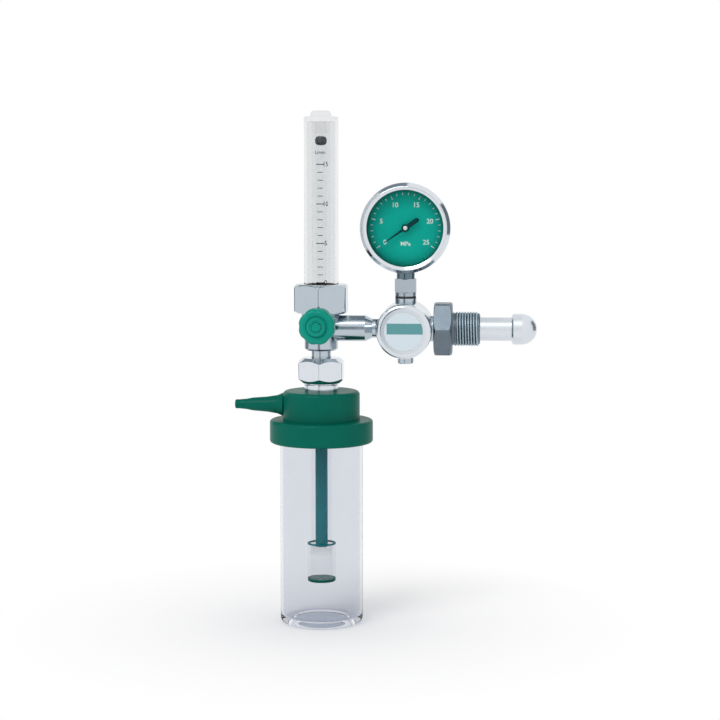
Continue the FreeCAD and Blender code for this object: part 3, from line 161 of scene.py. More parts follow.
class Amount:
    """A number that varies over a surface or from copy to copy; maths on it adds Math nodes."""

    def __init__(self, plan, socket):
        self.plan = plan
        self.socket = socket

    def join(self, operation, *numbers, clamp=False):
        made = self.plan.node("ShaderNodeMath", {"operation": operation, "use_clamp": clamp},
                              dict(enumerate(numbers)))
        return Amount(self.plan, made.outputs[0])

    def __add__(self, other):
        return self.join("ADD", self, other)

    __radd__ = __add__

    def __sub__(self, other):
        return self.join("SUBTRACT", self, other)

    def __rsub__(self, other):
        return self.join("SUBTRACT", other, self)

    def __mul__(self, other):
        return self.join("MULTIPLY", self, other)

    __rmul__ = __mul__

    def __truediv__(self, other):
        return self.join("DIVIDE", self, other)

    def __pow__(self, other):
        return self.join("POWER", self, other)

    def __lt__(self, other):
        return self.join("LESS_THAN", self, other)

    def clamped(self):
        """The same number, kept from 0 to 1."""
        return self.join("ADD", self, 0, clamp=True)


class Plan:
    """A node tree with one way to add nodes to it."""

    def __init__(self, tree):
        self.tree = tree

    def node(self, kind, settings=None, sockets=None):
        """Add a node, make its settings, then give its sockets their values or links."""
        made = self.tree.nodes.new(kind)
        for name, value in (settings or {}).items():
            setattr(made, name, value)
        for name, value in (sockets or {}).items():
            socket = made.inputs[name] if isinstance(name, int) else next(
                one for one in made.inputs if one.enabled and one.name == name)
            value = value.socket if isinstance(value, Amount) else value
            if isinstance(value, bpy.types.NodeSocket):
                self.tree.links.new(value, socket)
            elif socket.type == "RGBA" and len(value) == 3:
                socket.default_value = (*value, 1)
            else:
                socket.default_value = value
        return made

    def amount(self, kind, settings=None, sockets=None):
        """Add a node whose first output is a number."""
        return Amount(self, self.node(kind, settings, sockets).outputs[0])

    def rays(self, first, *others):
        """One for light paths of the named kinds, nought for the rest."""
        paths = self.node("ShaderNodeLightPath")
        kinds = [Amount(self, paths.outputs[f"Is {kind} Ray"]) for kind in (first, *others)]
        return sum(kinds[1:], kinds[0]).clamped()

    def glow(self, tone=(1, 1, 1)):
        """Even light of one colour as a surface."""
        return self.node("ShaderNodeEmission", {}, {"Color": tone, "Strength": 1.0}).outputs[0]


class Finish(Plan):
    """A material with one surface shader."""

    def __init__(self, name):
        self.material = bpy.data.materials.new(name)
        self.material.use_nodes = True
        super().__init__(self.material.node_tree)
        self.tree.nodes.clear()
        self.place = self.node("ShaderNodeTexCoord").outputs["Object"]

    def noise(self, size, detail=3):
        """Even noise whose grains are about the given size in millimetres."""
        return self.amount("ShaderNodeTexNoise", {}, {
            "Vector": self.place, "Scale": 1 / (size * MM), "Detail": detail})

    def blend(self, factor, first, second):
        """A colour between two others."""
        made = self.node("ShaderNodeMix", {"data_type": "RGBA"}, {"Factor": factor, "A": first, "B": second})
        return next(one for one in made.outputs if one.enabled)

    def across(self, centre):
        """Distances in metres from a point, along the three axes."""
        moved = self.node("ShaderNodeVectorMath", {"operation": "SUBTRACT"}, {0: self.place, 1: centre})
        parts = self.node("ShaderNodeSeparateXYZ", {}, {0: moved.outputs[0]})
        return [Amount(self, part) for part in parts.outputs]

    def bump(self, height, strength, depth):
        """Small unevenness of the surface; the depth is in millimetres."""
        made = self.node("ShaderNodeBump", {}, {
            "Strength": strength, "Distance": depth * MM, "Height": height})
        return made.outputs[0]

    def surface(self, base, roughness, **sockets):
        """A Principled shader, whose other sockets are given by their names with underscores."""
        names = {name.replace("_", " ").title().replace("Ior", "IOR"): value
                 for name, value in sockets.items()}
        shader = self.node("ShaderNodeBsdfPrincipled", {}, {
            "Base Color": base, "Roughness": roughness, **names})
        return shader.outputs[0]

    def done(self, shader):
        """Close the tree with this shader and hand over the material."""
        self.node("ShaderNodeOutputMaterial", {}, {"Surface": shader})
        return self.material


class Repeat(Plan):
    """A geometry tree that repeats one shape by a rule, with its sizes as named inputs."""

    def __init__(self, name, **inputs):
        super().__init__(bpy.data.node_groups.new(name, "GeometryNodeTree"))
        self.names = {}
        for label, value in inputs.items():
            kind = "NodeSocketInt" if isinstance(value, int) else "NodeSocketFloat"
            socket = self.tree.interface.new_socket(label, in_out="INPUT", socket_type=kind)
            socket.default_value = value
            self.names[label] = socket.identifier
        self.tree.interface.new_socket("Geometry", in_out="OUTPUT", socket_type="NodeSocketGeometry")
        given = self.node("NodeGroupInput")
        self.given = {label: Amount(self, given.outputs[label]) for label in inputs}

    def point(self, across=0, along=0, up=0):
        """A vector from its three parts."""
        return self.node("ShaderNodeCombineXYZ", {}, {0: across, 1: along, 2: up}).outputs[0]

    def close(self, geometry, material):
        """Make the copies real, give them their material and lead them out."""
        real = self.node("GeometryNodeRealizeInstances", {}, {"Geometry": geometry})
        dressed = self.node("GeometryNodeSetMaterial", {}, {
            "Geometry": real.outputs[0], "Material": material})
        self.node("NodeGroupOutput", {}, {"Geometry": dressed.outputs[0]})

    def piece(self, name, place, **sizes):
        """Run the tree with these sizes and keep the result as a plain mesh."""
        holder = bpy.data.objects.new(name + "_rule", bpy.data.meshes.new(name))
        bpy.context.collection.objects.link(holder)
        rule = holder.modifiers.new("Rule", "NODES")
        rule.node_group = self.tree
        for label, value in sizes.items():
            rule[self.names[label]] = value
        mesh = bpy.data.meshes.new_from_object(holder.evaluated_get(bpy.context.evaluated_depsgraph_get()))
        bpy.data.objects.remove(holder)
        mesh.name = name
        mesh.transform(place)
        return set_out(name, mesh)


# ---------------------------------------------------------------- meshes

def set_out(name, mesh):
    """Put a finished mesh in the scene as an object at the origin."""
    if not mesh.polygons:
        raise RuntimeError(f"{name} has no faces")
    piece = bpy.data.objects.new(name, mesh)
    bpy.context.collection.objects.link(piece)
    return piece


def rounded(corners, steps=5):
    """Closed outline from (radius, height) or (radius, height, rounding) corners in millimetres."""
    spots = [Vector(corner[:2]) for corner in corners]
    arcs = []
    for place, corner in enumerate(corners):
        here = spots[place]
        bend = corner[2] if len(corner) == 3 else 0
        if not bend:
            arcs.append([here])
            continue
        back = (spots[place - 1] - here).normalized()
        ahead = (spots[(place + 1) % len(spots)] - here).normalized()
        half = back.angle(ahead) / 2
        middle = here + (back + ahead).normalized() * bend / sin(half)
        first = here + back * bend / tan(half) - middle
        last = here + ahead * bend / tan(half) - middle
        sweep = first.angle(last)
        shares = [step / steps for step in range(steps + 1)]
        arcs.append([middle + (first * sin(sweep * (1 - part)) + last * sin(sweep * part)) / sin(sweep)
                     for part in shares])
    return held(arcs)


def held(arcs):
    """Join arcs by straight runs with a point close to both ends, so that their shading stays flat."""
    points = []
    for arc, ahead in zip(arcs, arcs[1:] + arcs[:1]):
        run = ahead[0] - arc[-1]
        inset = run.normalized() * min(HOLD, run.length / 4)
        points += arc + [arc[-1] + inset, ahead[0] - inset]
    return points


def circle(steps=96):
    """Plan of a round piece, with a radius of one."""
    return [Vector((cos(2 * pi * step / steps), sin(2 * pi * step / steps))) for step in range(steps)]


def hexagon(flats, corner, corner_steps=8, flat_steps=10):
    """Plan of a hexagon with a corner towards the viewer, its corners rounded."""
    inner = (flats / 2 - corner) / cos(pi / 6)
    points = []
    for side in range(6):
        middle = radians(30 + 60 * side)
        centre = Vector((cos(middle), sin(middle))) * inner
        arc = [middle + radians(60 * step / corner_steps - 30) for step in range(corner_steps + 1)]
        points += [centre + Vector((cos(angle), sin(angle))) * corner for angle in arc]
        ahead = Vector((cos(middle + pi / 3), sin(middle + pi / 3))) * inner
        ahead += Vector((cos(middle + pi / 6), sin(middle + pi / 6))) * corner
        start = points[-1]
        run = ahead - start
        hold = HOLD / run.length
        shares = [hold, *(step / flat_steps for step in range(1, flat_steps)), 1 - hold]
        points += [start + run * part for part in shares]
    return points


def column(name, plan, profile, place, material):
    """Carry (radius, height) points round a plan; profile() makes them for the plan's reach at each spot."""
    rings = [[(*(spot.normalized() * point[0]), point[1]) for point in profile(spot.length)] for spot in plan]
    mesh = bpy.data.meshes.new(name)
    shape = bmesh.new()
    grid = [[shape.verts.new(point) for point in ring] for ring in rings]
    for first, second in zip(grid, grid[1:] + grid[:1]):
        for step in range(len(first)):
            ahead = (step + 1) % len(first)
            shape.faces.new((first[step], second[step], second[ahead], first[ahead]))
    bmesh.ops.recalc_face_normals(shape, faces=shape.faces)
    shape.to_mesh(mesh)
    shape.free()
    mesh.transform(place)
    mesh.polygons.foreach_set("use_smooth", [True] * len(mesh.polygons))
    mesh.set_sharp_from_angle(angle=SHARP_FROM)
    mesh.materials.append(material)
    return set_out(name, mesh)


def nut_profile(flats, low, high, edge, inside, crest_share=0.49, cone=27):
    """Outline of a hexagon whose ends are turned to a cone, closed by the points of its inside.

    The cone starts at crest_share of the width over the flats and falls by so many degrees.
    """
    crest = crest_share * flats
    slope = tan(radians(cone))

    def profile(reach):
        drop = (reach - crest) * slope
        return rounded([(crest, low, edge), (reach, low + drop, edge), (reach, high - drop, edge),
                        (crest, high, edge)] + inside)
    return profile


def words(name, text, height, place, material, bend=None):
    """Printed characters, flat or wrapped round a tube with the radius bend, in millimetres."""
    curve = bpy.data.curves.new(name, "FONT")
    curve.body = text
    curve.size = height
    curve.align_x = "CENTER"
    curve.align_y = "CENTER"
    curve.extrude = INK / 2
    curve.offset = 0.012 * height
    holder = bpy.data.objects.new(name + "_type", curve)
    bpy.context.collection.objects.link(holder)
    mesh = bpy.data.meshes.new_from_object(holder.evaluated_get(bpy.context.evaluated_depsgraph_get()))
    bpy.data.objects.remove(holder)
    mesh.name = name
    if bend:
        for vertex in mesh.vertices:
            across, along, up = vertex.co
            reach = bend + up
            vertex.co = (reach * sin(across / bend), along, reach * cos(across / bend) - bend)
    mesh.transform(place)
    mesh.materials.clear()
    mesh.materials.append(material)
    return set_out(name, mesh)


# ---------------------------------------------------------------- finishes

def metal(name, tone, rough):
    """Plated metal: fine polishing haze and the faint unevenness of a plated forging."""
    made = Finish(name)
    haze = made.noise(6.0)
    speck = made.noise(0.25, 2)
    base = made.blend(haze * 0.6, tone, tuple(0.93 * part for part in tone))
    relief = made.bump(haze + speck * 0.15, 0.12, 0.05)
    return made.done(made.surface(base, rough + (haze * 0.7 + speck * 0.3 - 0.35) * rough,
                                  metallic=1.0, normal=relief))


def socket_metal():
    """Grey nickel of the gauge's socket, with painted shade: dark at the neck under the case."""
    neck_foot, fade = 33.3 * MM, 0.4 * MM
    made = Finish("grey_socket")
    height = made.across((0, 0, neck_foot))[2]
    haze = made.noise(6.0)
    # Painted shade: above the neck's foot the nickel turns darker, standing in for the shadow under the
    # gauge's case.
    neck = (height / fade + 0.5).clamped()
    base = made.blend(neck, shown(172, 182, 191), shown(104, 122, 132))
    return made.done(made.surface(base, 0.16 + 0.08 * haze, metallic=1.0))


def moulded(name, tone, rough=0.36, coat=0.05):
    """Glossy moulded plastic with flow shading and a fine skin."""
    made = Finish(name)
    cloud = made.noise(14.0)
    skin = made.noise(0.4, 2)
    base = made.blend(cloud, tuple(0.88 * part for part in tone),
                      tuple(min(1, 1.12 * part) for part in tone))
    relief = made.bump(skin * 0.4 + cloud, 0.1, 0.06)
    return made.done(made.surface(base, rough + 0.16 * (cloud - 0.5), normal=relief,
                                  coat_weight=coat * cloud, coat_roughness=0.12, specular_ior_level=0.06))


def rubber(name, tone):
    """Matt rubber with a little dust on it."""
    made = Finish(name)
    dust = made.noise(1.2)
    base = made.blend(dust, tone, tuple(1.6 * part for part in tone))
    return made.done(made.surface(base, 0.62 + 0.2 * (dust - 0.5), normal=made.bump(dust, 0.2, 0.03)))


def clear(name, tint, ior, rough=0.02, ripple=0.05, crown=None, crown_height=0):
    """Clear moulded plastic that lets the light through to what is inside.

    The low index keeps it as clear as in the photo; the crown is the tint above crown_height.
    """
    made = Finish(name)
    wave = made.noise(9.0, 2)
    base = made.blend(wave, tint, tuple(0.97 * part for part in tint))
    if crown:
        fade = 2 * MM
        above = (made.across((0, 0, crown_height))[2] / fade + 0.5).clamped()
        base = made.blend(above, base, crown)
    shader = made.surface(base, rough + 0.02 * wave,
                          ior=ior, transmission_weight=1.0, normal=made.bump(wave, ripple, 0.1))
    through = made.node("ShaderNodeBsdfTransparent", {}, {"Color": tint})
    mixed = made.node("ShaderNodeMixShader", {}, {
        0: made.rays("Shadow", "Diffuse"), 1: shader, 2: through.outputs[0]})
    return made.done(mixed.outputs[0])


def printed(name, tone):
    """Matt printing ink."""
    made = Finish(name)
    ink = made.noise(0.5)
    base = made.blend(ink, tone, tuple(0.9 * part for part in tone))
    return made.done(made.surface(base, 0.45 + 0.1 * ink, specular_ior_level=0.15))


def dial_paint(tints):
    """Green dial with painted shade: darker towards its rim where the case shades it."""
    dial_radius, steepness = 25.0 * MM, 9
    made = Finish("dial_paint")
    across, _, up = made.across(GAUGE_AXIS)
    reach = (across * across + up * up) ** 0.5 / dial_radius
    shade = (reach ** steepness).clamped()
    grain = made.noise(1.5)
    face = made.blend(grain, tuple(0.86 * part for part in tints.dial), tints.dial)
    return made.done(made.surface(made.blend(shade, face, tints.dial_rim), 0.42 + 0.1 * grain,
                                  specular_ior_level=0.1))


def label_film(tints):
    """Pale film with a bare green band across it, a little off its middle as in the photo."""
    shift, half_height, half_width = Vector((1.0, 0, 1.8)) * MM, 3.55 * MM, 12.0 * MM
    made = Finish("label_film")
    across, _, up = made.across(middle_of("label_plate") + shift)
    band = (up.join("ABSOLUTE", up) < half_height) * (across.join("ABSOLUTE", across) < half_width)
    grain = made.noise(0.8)
    film = made.blend(grain, tints.film, tuple(0.97 * part for part in tints.film))
    green = made.blend(grain, tints.band, tuple(0.93 * part for part in tints.band))
    return made.done(made.surface(made.blend(band, film, green), 0.34 + 0.08 * grain,
                                  coat_weight=0.2 + 0.1 * grain, coat_roughness=0.1))


def sintered(name, tone):
    """Sintered grains, as of a filter or a porous diffuser."""
    made = Finish(name)
    grain = made.amount("ShaderNodeTexVoronoi", {}, {"Vector": made.place, "Scale": 1 / (0.6 * MM)})
    base = made.blend(grain.clamped(), tone, tuple(0.8 * part for part in tone))
    return made.done(made.surface(base, 0.5 + 0.2 * grain, normal=made.bump(grain, 0.5, 0.12)))


def sheer(name, tone, cover):
    """Thin pale plastic that what is behind shows through."""
    made = Finish(name)
    grain = made.noise(0.7)
    base = made.blend(grain, tone, tuple(0.94 * part for part in tone))
    return made.done(made.surface(base, 0.5 + 0.2 * grain, alpha=cover, specular_ior_level=0.1))


# The materials by name, filled by the first operator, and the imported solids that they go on.
FINISHES = {}
NODES_OF = {
    "polished_chrome": ["bonnet", "gauge_bezel", "gauge_case", "union_nut", "cap_nipple"],
    "body_chrome": ["reducer_body", "relief_cap", "outlet_arm", "flowmeter_body", "gland_nut", "collar_nut"],
    "grey_socket": ["gauge_socket"],
    "bright_stem": ["inlet_stem"],
    "satin_nickel": ["inlet_nut"],
    "machined_brass": ["nipple_nut", "valve_plug", "valve_poppet", "diaphragm_plate", "pinion_arbor",
                       "sector_gear", "movement_frame", "bourdon_tube", "needle_spindle", "bottom_stop",
                       "relief_poppet"],
    "spring_steel": ["main_spring", "poppet_spring", "relief_spring", "knob_screw", "float_ball"],
    "green_moulding": ["humidifier_cap", "diffuser_ring"],
    "knob_green": ["flow_knob", "knob_cap"],
    "tube_green": ["dip_tube"],
    "clear_bottle": ["bottle"],
    "clear_cover": ["tube_cover"],
    "clear_window": ["gauge_window"],
    "metering_glass": ["metering_tube"],
    "pale_sleeve": ["bubbler_sleeve"],
    "soft_cushion": ["tube_cushion"],
    "black_rubber": ["nut_ring", "arm_seal", "gauge_washer", "tube_seal", "cover_seal", "union_washer",
                     "bottle_gasket", "spindle_ring", "top_stop", "diaphragm"],
    "dial_paint": ["gauge_dial"],
    "pointer_paint": ["gauge_pointer"],
    "label_film": ["label_plate"],
    "sintered_bronze": ["inlet_filter"],
    "porous_white": ["diffuser"],
}


class REGULATOR_OT_finishes(bpy.types.Operator):
    """Give every solid of the regulator its finish"""
    bl_idname = "regulator.finishes"
    bl_label = "Finishes"

    def execute(self, context):
        tints = context.scene.regulator_colours
        FINISHES.update({
            "polished_chrome": metal("polished_chrome", tuple(tints.chrome), 0.11),
            "bright_stem": metal("bright_stem", tuple(tints.chrome), 0.2),
            "body_chrome": metal("body_chrome", tuple(tints.body), 0.13),
            "grey_socket": socket_metal(),
            "satin_nickel": metal("satin_nickel", tuple(tints.nickel), 0.34),
            "dull_thread": metal("dull_thread", tuple(tints.thread), 0.4),
            "machined_brass": metal("machined_brass", shown(205, 170, 96), 0.28),
            "spring_steel": metal("spring_steel", shown(188, 190, 194), 0.24),
            "green_moulding": moulded("green_moulding", tuple(tints.moulding)),
            "knob_green": moulded("knob_green", tuple(tints.knob), 0.3, 0.3),
            "tube_green": moulded("tube_green", tuple(tints.tube)),
            "clear_bottle": clear("clear_bottle", tuple(tints.bottle), 1.12),
            "clear_cover": clear("clear_cover", tuple(tints.cover), 1.15, crown=tuple(tints.crown),
                                 crown_height=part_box("tube_cushion")[1].z),
            "clear_window": clear("clear_window", tuple(tints.glass), 1.05, 0.01, 0.0),
            "metering_glass": clear("metering_glass", tuple(tints.glass), 1.2, 0.01),
            "pale_sleeve": sheer("pale_sleeve", shown(222, 238, 238), 0.03),
            "soft_cushion": sheer("soft_cushion", shown(232, 232, 232), 0.12),
            "black_rubber": rubber("black_rubber", shown(36, 37, 40)),
            "bead_rubber": rubber("bead_rubber", shown(66, 68, 72)),
            "dial_paint": dial_paint(tints),
            "pointer_paint": moulded("pointer_paint", shown(4, 58, 60), 0.4, 0.05),
            "label_film": label_film(tints),
            "sintered_bronze": sintered("sintered_bronze", shown(178, 140, 92)),
            "porous_white": sheer("porous_white", shown(250, 251, 253), 0.08),
            "pale_button": metal("pale_button", shown(214, 220, 220), 0.3),
            "white_print": printed("white_print", shown(226, 244, 238)),
            "dark_print": printed("dark_print", shown(66, 70, 74)),
        })
        for finish, names in NODES_OF.items():
            for name in names:
                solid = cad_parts[name]
                solid.data.materials.clear()
                solid.data.materials.append(FINISHES[finish])
        missing = set(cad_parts) - {name for names in NODES_OF.values() for name in names}
        if missing:
            raise RuntimeError(f"no finish for {sorted(missing)}")
        return {"FINISHED"}


# ---------------------------------------------------------------- pieces

class REGULATOR_OT_inlet_nut(bpy.types.Operator):
    """Make the inlet nut with its hexagon, relief groove and cut thread"""
    bl_idname = "regulator.inlet_nut"
    bl_label = "Inlet nut"

    def execute(self, context):
        sizes = context.scene.regulator_sizes
        pitch, depth = sizes.thread_pitch / MM, sizes.thread_depth / MM
        low, high = (corner.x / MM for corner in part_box("inlet_nut"))
        flats = (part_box("inlet_nut")[1].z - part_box("inlet_nut")[0].z) / MM
        bore, crest, face = 8.15, 11.42, low + 12.0
        collar, step, chamfer = 1.8, 0.3, 0.8
        root = crest - depth
        inside = [(root + step, face, 0.2), (root + step, face + collar), (root, face + collar + step),
                  (root, high - chamfer), (root - chamfer, high, 0.2), (bore, high), (bore, low)]
        body = column("inlet_nut_hexagon", hexagon(flats, sizes.nut_corner / MM),
                      nut_profile(flats, low, face, sizes.nut_edge / MM, inside), TOWARD_CYLINDER,
                      FINISHES["satin_nickel"])
        start, end, sink = face + 2.2, high - 1.0, 0.02
        place = Matrix.Translation((start * MM, 0, 0)) @ Matrix.Rotation(radians(90), 4, "Y")
        thread = self.ridge().piece("inlet_nut_thread", place, Turns=(end - start) / pitch,
                                    Length=(end - start) * MM, Root=(root - sink) * MM,
                                    Depth=depth * MM, Pitch=pitch * MM)
        for piece in (body, thread):
            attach(piece, "cylinder_nut")
        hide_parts("inlet_nut")
        return {"FINISHED"}

    @staticmethod
    def ridge():
        """Rule for a right-handed screw thread that runs out at both ends."""
        top_share, runout_rate = 0.2, 2.5
        rule = Repeat("screw_thread", Turns=8.0, Length=0.0145, Root=0.0102, Depth=0.00116, Pitch=0.0018)
        given = rule.given
        coil = rule.node("GeometryNodeCurveSpiral", {}, {
            "Resolution": 72, "Rotations": given["Turns"], "Reverse": True, "Start Radius": given["Root"],
            "End Radius": given["Root"], "Height": given["Length"]})
        steady = rule.node("GeometryNodeSetCurveNormal", {"mode": "Z_UP"}, {"Curve": coil.outputs[0]})
        part = rule.amount("GeometryNodeSplineParameter")
        ends = part.join("MINIMUM", part, 1 - part) * given["Turns"] * runout_rate
        sized = rule.node("GeometryNodeSetCurveRadius", {}, {
            "Curve": steady.outputs[0], "Radius": ends.join("MINIMUM", ends, 1.0)})
        outline = rule.node("GeometryNodeCurvePrimitiveQuadrilateral", {"mode": "TRAPEZOID"}, {
            "Bottom Width": given["Pitch"], "Top Width": given["Pitch"] * top_share,
            "Height": given["Depth"], "Offset": 0.0})
        stood = rule.node("GeometryNodeTransform", {}, {
            "Geometry": outline.outputs[0], "Translation": rule.point(given["Depth"] * 0.5),
            "Rotation": (0, 0, -pi / 2)})
        solid = rule.node("GeometryNodeCurveToMesh", {}, {
            "Curve": sized.outputs[0], "Profile Curve": stood.outputs[0], "Fill Caps": True})
        rule.close(solid.outputs[0], FINISHES["dull_thread"])
        return rule


# For each upright nut its body, crest share, cone and finish, then the (radius, height) points of its inside
# in millimetres.
NUTS = {
    "collar_nut": ("regulator", 0.475, 30, "body_chrome",
                   [(11.7, 29.3), (11.7, 23.0), (13.5, 23.0), (13.5, 10.0)]),
    "union_nut": ("union", 0.42, 38, "polished_chrome",
                  [(6.8, -19.7), (6.8, -22.7), (10.2, -22.7), (10.2, -36.7)]),
}


class REGULATOR_OT_nuts(bpy.types.Operator):
    """Make the collar nut under the tube cover and the union nut over the cap"""
    bl_idname = "regulator.nuts"
    bl_label = "Collar nut and union nut"

    def execute(self, context):
        sizes = context.scene.regulator_sizes
        for name, (body, crest, cone, finish, inside) in NUTS.items():
            low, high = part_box(name)
            flats = (high.x - low.x) / MM
            profile = nut_profile(flats, low.z / MM, high.z / MM, sizes.nut_edge / MM, inside, crest, cone)
            piece = column(name + "_hexagon", hexagon(flats, sizes.nut_corner / MM), profile, UPRIGHT,
                           FINISHES[finish])
            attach(piece, body)
            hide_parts(name)
        return {"FINISHED"}


class REGULATOR_OT_knob(bpy.types.Operator):
    """Make the flow knob with its soft flutes, and the ring round its hub"""
    bl_idname = "regulator.knob"
    bl_label = "Flow knob"

    def execute(self, context):
        flute = context.scene.regulator_sizes.knob_flute / MM
        low, high = (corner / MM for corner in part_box("flow_knob"))
        back, front, rim = -high.y, -low.y, (high.x - low.x) / 2
        flutes, flute_half = 8, radians(16)
        hole, lip, hub, well = 3.3, 4.7, 6.0, 7.3
        face, groove, bevel = front - 2.2, 0.5, 0.9
        pitch = 2 * pi / flutes
        plan = []
        for spot in circle(192):
            off = abs((atan2(spot.y, spot.x) + pitch / 2) % pitch - pitch / 2) / flute_half
            plan.append(spot * (rim - flute * cos(min(off, 1) * pi / 2) ** 2))

        def profile(reach):
            return rounded([(hole, back), (reach - bevel, back, 0.3), (reach, back + bevel, 0.6),
                            (reach, face, 3.0), (well, face, 0.4), (well - 0.4, face - groove, 0.2),
                            (hub, face - groove, 0.2), (hub, front, 0.8), (lip, front, 0.3),
                            (lip - 0.3, front - groove, 0.2), (hole, front - groove)])
        place = Matrix.Translation((KNOB_AXIS.x, 0, KNOB_AXIS.z)) @ TOWARD_VIEWER
        knob = column("flow_knob_grip", plan, profile, place, FINISHES["knob_green"])
        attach(knob, "needle_and_knob")
        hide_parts("flow_knob")
        return {"FINISHED"}


# The spout's flare as (distance from its axis, distance from the tube's axis, rounding) in millimetres.
FLARE = [(2.6, 55.2), (3.08, 55.2), (3.5, 50.5, 3.0), (4.34, 46.2, 3.0), (5.1, 36.5, 4.0), (6.2, 29.5, 5.0),
         (8.0, 25.4), (2.6, 25.4)]


class REGULATOR_OT_humidifier(bpy.types.Operator):
    """Flare the outlet spout into the cap and add the rim of the diffuser"""
    bl_idname = "regulator.humidifier"
    bl_label = "Spout flare and diffuser rim"

    def execute(self, context):
        height = context.scene.regulator_sizes.spout_height
        toward_tube = Matrix.Translation((FLOW_AXIS, 0, -height)) @ Matrix.Rotation(radians(-90), 4, "Y")
        place = toward_tube @ Matrix.Scale(MM, 4)
        flare = column("spout_flare", circle(64), lambda _: rounded(FLARE), place,
                       FINISHES["green_moulding"])
        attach(flare, "humidifier")
        low, high = (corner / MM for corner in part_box("diffuser"))
        rim, top = (high.x - low.x) / 2, high.z
        width, depth, proud_side, proud_top = 1.2, 0.9, 0.12, 0.1
        ring = column("diffuser_rim", circle(), lambda _: rounded(
            [(rim - width, top - depth), (rim + proud_side, top - depth, 0.2),
             (rim + proud_side, top + proud_top, 0.2), (rim - width, top + proud_top)]), UPRIGHT,
            FINISHES["tube_green"])
        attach(ring, "humidifier")
        return {"FINISHED"}


class REGULATOR_OT_tube_stop(bpy.types.Operator):
    """Round the rubber bead that stops the float at the top of the metering tube"""
    bl_idname = "regulator.tube_stop"
    bl_label = "Tube stop"

    def execute(self, context):
        low, high = (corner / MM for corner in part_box("top_stop"))
        rim = (high.x - low.x) / 2
        edge = min(context.scene.regulator_sizes.stop_edge / MM, 0.46 * (high.z - low.z), 0.9 * rim)
        bead = column("top_stop_bead", circle(48), lambda _: rounded(
            [(CORE, low.z), (rim, low.z, edge), (rim, high.z, edge), (CORE, high.z)], 9), UPRIGHT,
            FINISHES["bead_rubber"])
        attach(bead, "regulator")
        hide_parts("top_stop")
        return {"FINISHED"}


class REGULATOR_OT_gauge_prints(bpy.types.Operator):
    """Print the marks, numbers and unit on the gauge's dial, and add the pointer's button and tail"""
    bl_idname = "regulator.gauge_prints"
    bl_label = "Gauge prints"

    def execute(self, context):
        sizes = context.scene.regulator_sizes
        top, step, marks_a_step = 25, 5, 5
        mark_reach, number_reach, unit_drop = 23.2 * MM, 16.6 * MM, 10.5 * MM
        white = FINISHES["white_print"]
        face = Matrix.Translation((GAUGE_AXIS.x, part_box("gauge_dial")[0].y, GAUGE_AXIS.z))
        face = face @ Matrix.Rotation(radians(90), 4, "X")
        rule = self.marks(white)
        prints = [
            rule.piece("dial_short_marks", face, Count=top // step * marks_a_step + 1, Radius=mark_reach,
                       Length=sizes.tick_length, Width=sizes.tick_width, Start=DIAL_START, Sweep=DIAL_SWEEP),
            rule.piece("dial_long_marks", face, Count=top // step + 1, Radius=mark_reach,
                       Length=1.8 * sizes.tick_length, Width=1.5 * sizes.tick_width,
                       Start=DIAL_START, Sweep=DIAL_SWEEP),
        ]
        for value in range(0, top + 1, step):
            angle = DIAL_START - DIAL_SWEEP * value / top
            spot = Matrix.Translation((number_reach * cos(angle), number_reach * sin(angle), 0))
            prints.append(words(f"dial_number_{value}", str(value), sizes.numeral_height / MM,
                                face @ spot @ Matrix.Scale(MM, 4), white))
        unit = Matrix.Translation((0, -unit_drop, 0)) @ Matrix.Scale(MM, 4)
        prints.append(words("dial_unit", "MPa", 0.9 * sizes.numeral_height / MM, face @ unit, white))
        for piece in prints:
            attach(piece, "regulator")
        self.finish_pointer()
        return {"FINISHED"}

    @staticmethod
    def marks(material):
        """Rule for equal marks along an arc of the dial."""
        rule = Repeat("dial_marks", Count=26, Radius=0.023, Length=0.002, Width=0.0003,
                      Start=DIAL_START, Sweep=DIAL_SWEEP)
        given = rule.given
        place = rule.amount("GeometryNodeInputIndex")
        angle = given["Start"] - given["Sweep"] * place / (given["Count"] - 1)
        middle = given["Radius"] - given["Length"] * 0.5
        spots = rule.node("GeometryNodePoints", {}, {
            "Count": given["Count"],
            "Position": rule.point(angle.join("COSINE", angle) * middle, angle.join("SINE", angle) * middle)})
        bar = rule.node("GeometryNodeMeshCube", {}, {
            "Size": rule.point(given["Length"], given["Width"], INK * MM)})
        copies = rule.node("GeometryNodeInstanceOnPoints", {}, {
            "Points": spots.outputs[0], "Instance": bar.outputs[0], "Rotation": rule.point(0, 0, angle)})
        rule.close(copies.outputs[0], material)
        return rule

    @staticmethod
    def finish_pointer():
        """Add the pointer's button and the broad tail that balances it."""
        hub = -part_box("gauge_pointer")[0].y / MM
        place = Matrix.Translation((GAUGE_AXIS.x, 0, GAUGE_AXIS.z)) @ TOWARD_VIEWER
        half_width, half_run, tail_middle, lean = 1.5, 3.6, 5.6, radians(35)
        button = column("pointer_button", circle(48), lambda _: rounded(
            [(CORE, hub - 0.3), (half_width, hub - 0.3), (half_width, hub + 0.5, 0.4), (CORE, hub + 0.6)]),
            place, FINISHES["pale_button"])
        plan = [spot * half_width + Vector((half_run if spot.x > 0 else -half_run, 0)) for spot in circle(48)]
        tail = column("pointer_tail", plan, lambda reach: rounded(
            [(CORE, hub - 0.35), (reach, hub - 0.35), (reach, hub + 0.12, 0.1), (CORE, hub + 0.12)]),
            place @ Matrix.Rotation(lean, 4, "Z") @ Matrix.Translation((tail_middle, 0, 0)),
            FINISHES["pointer_paint"])
        for piece, look in ((button, "chrome"), (tail, "pointer_dark")):
            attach(piece, "pointer")


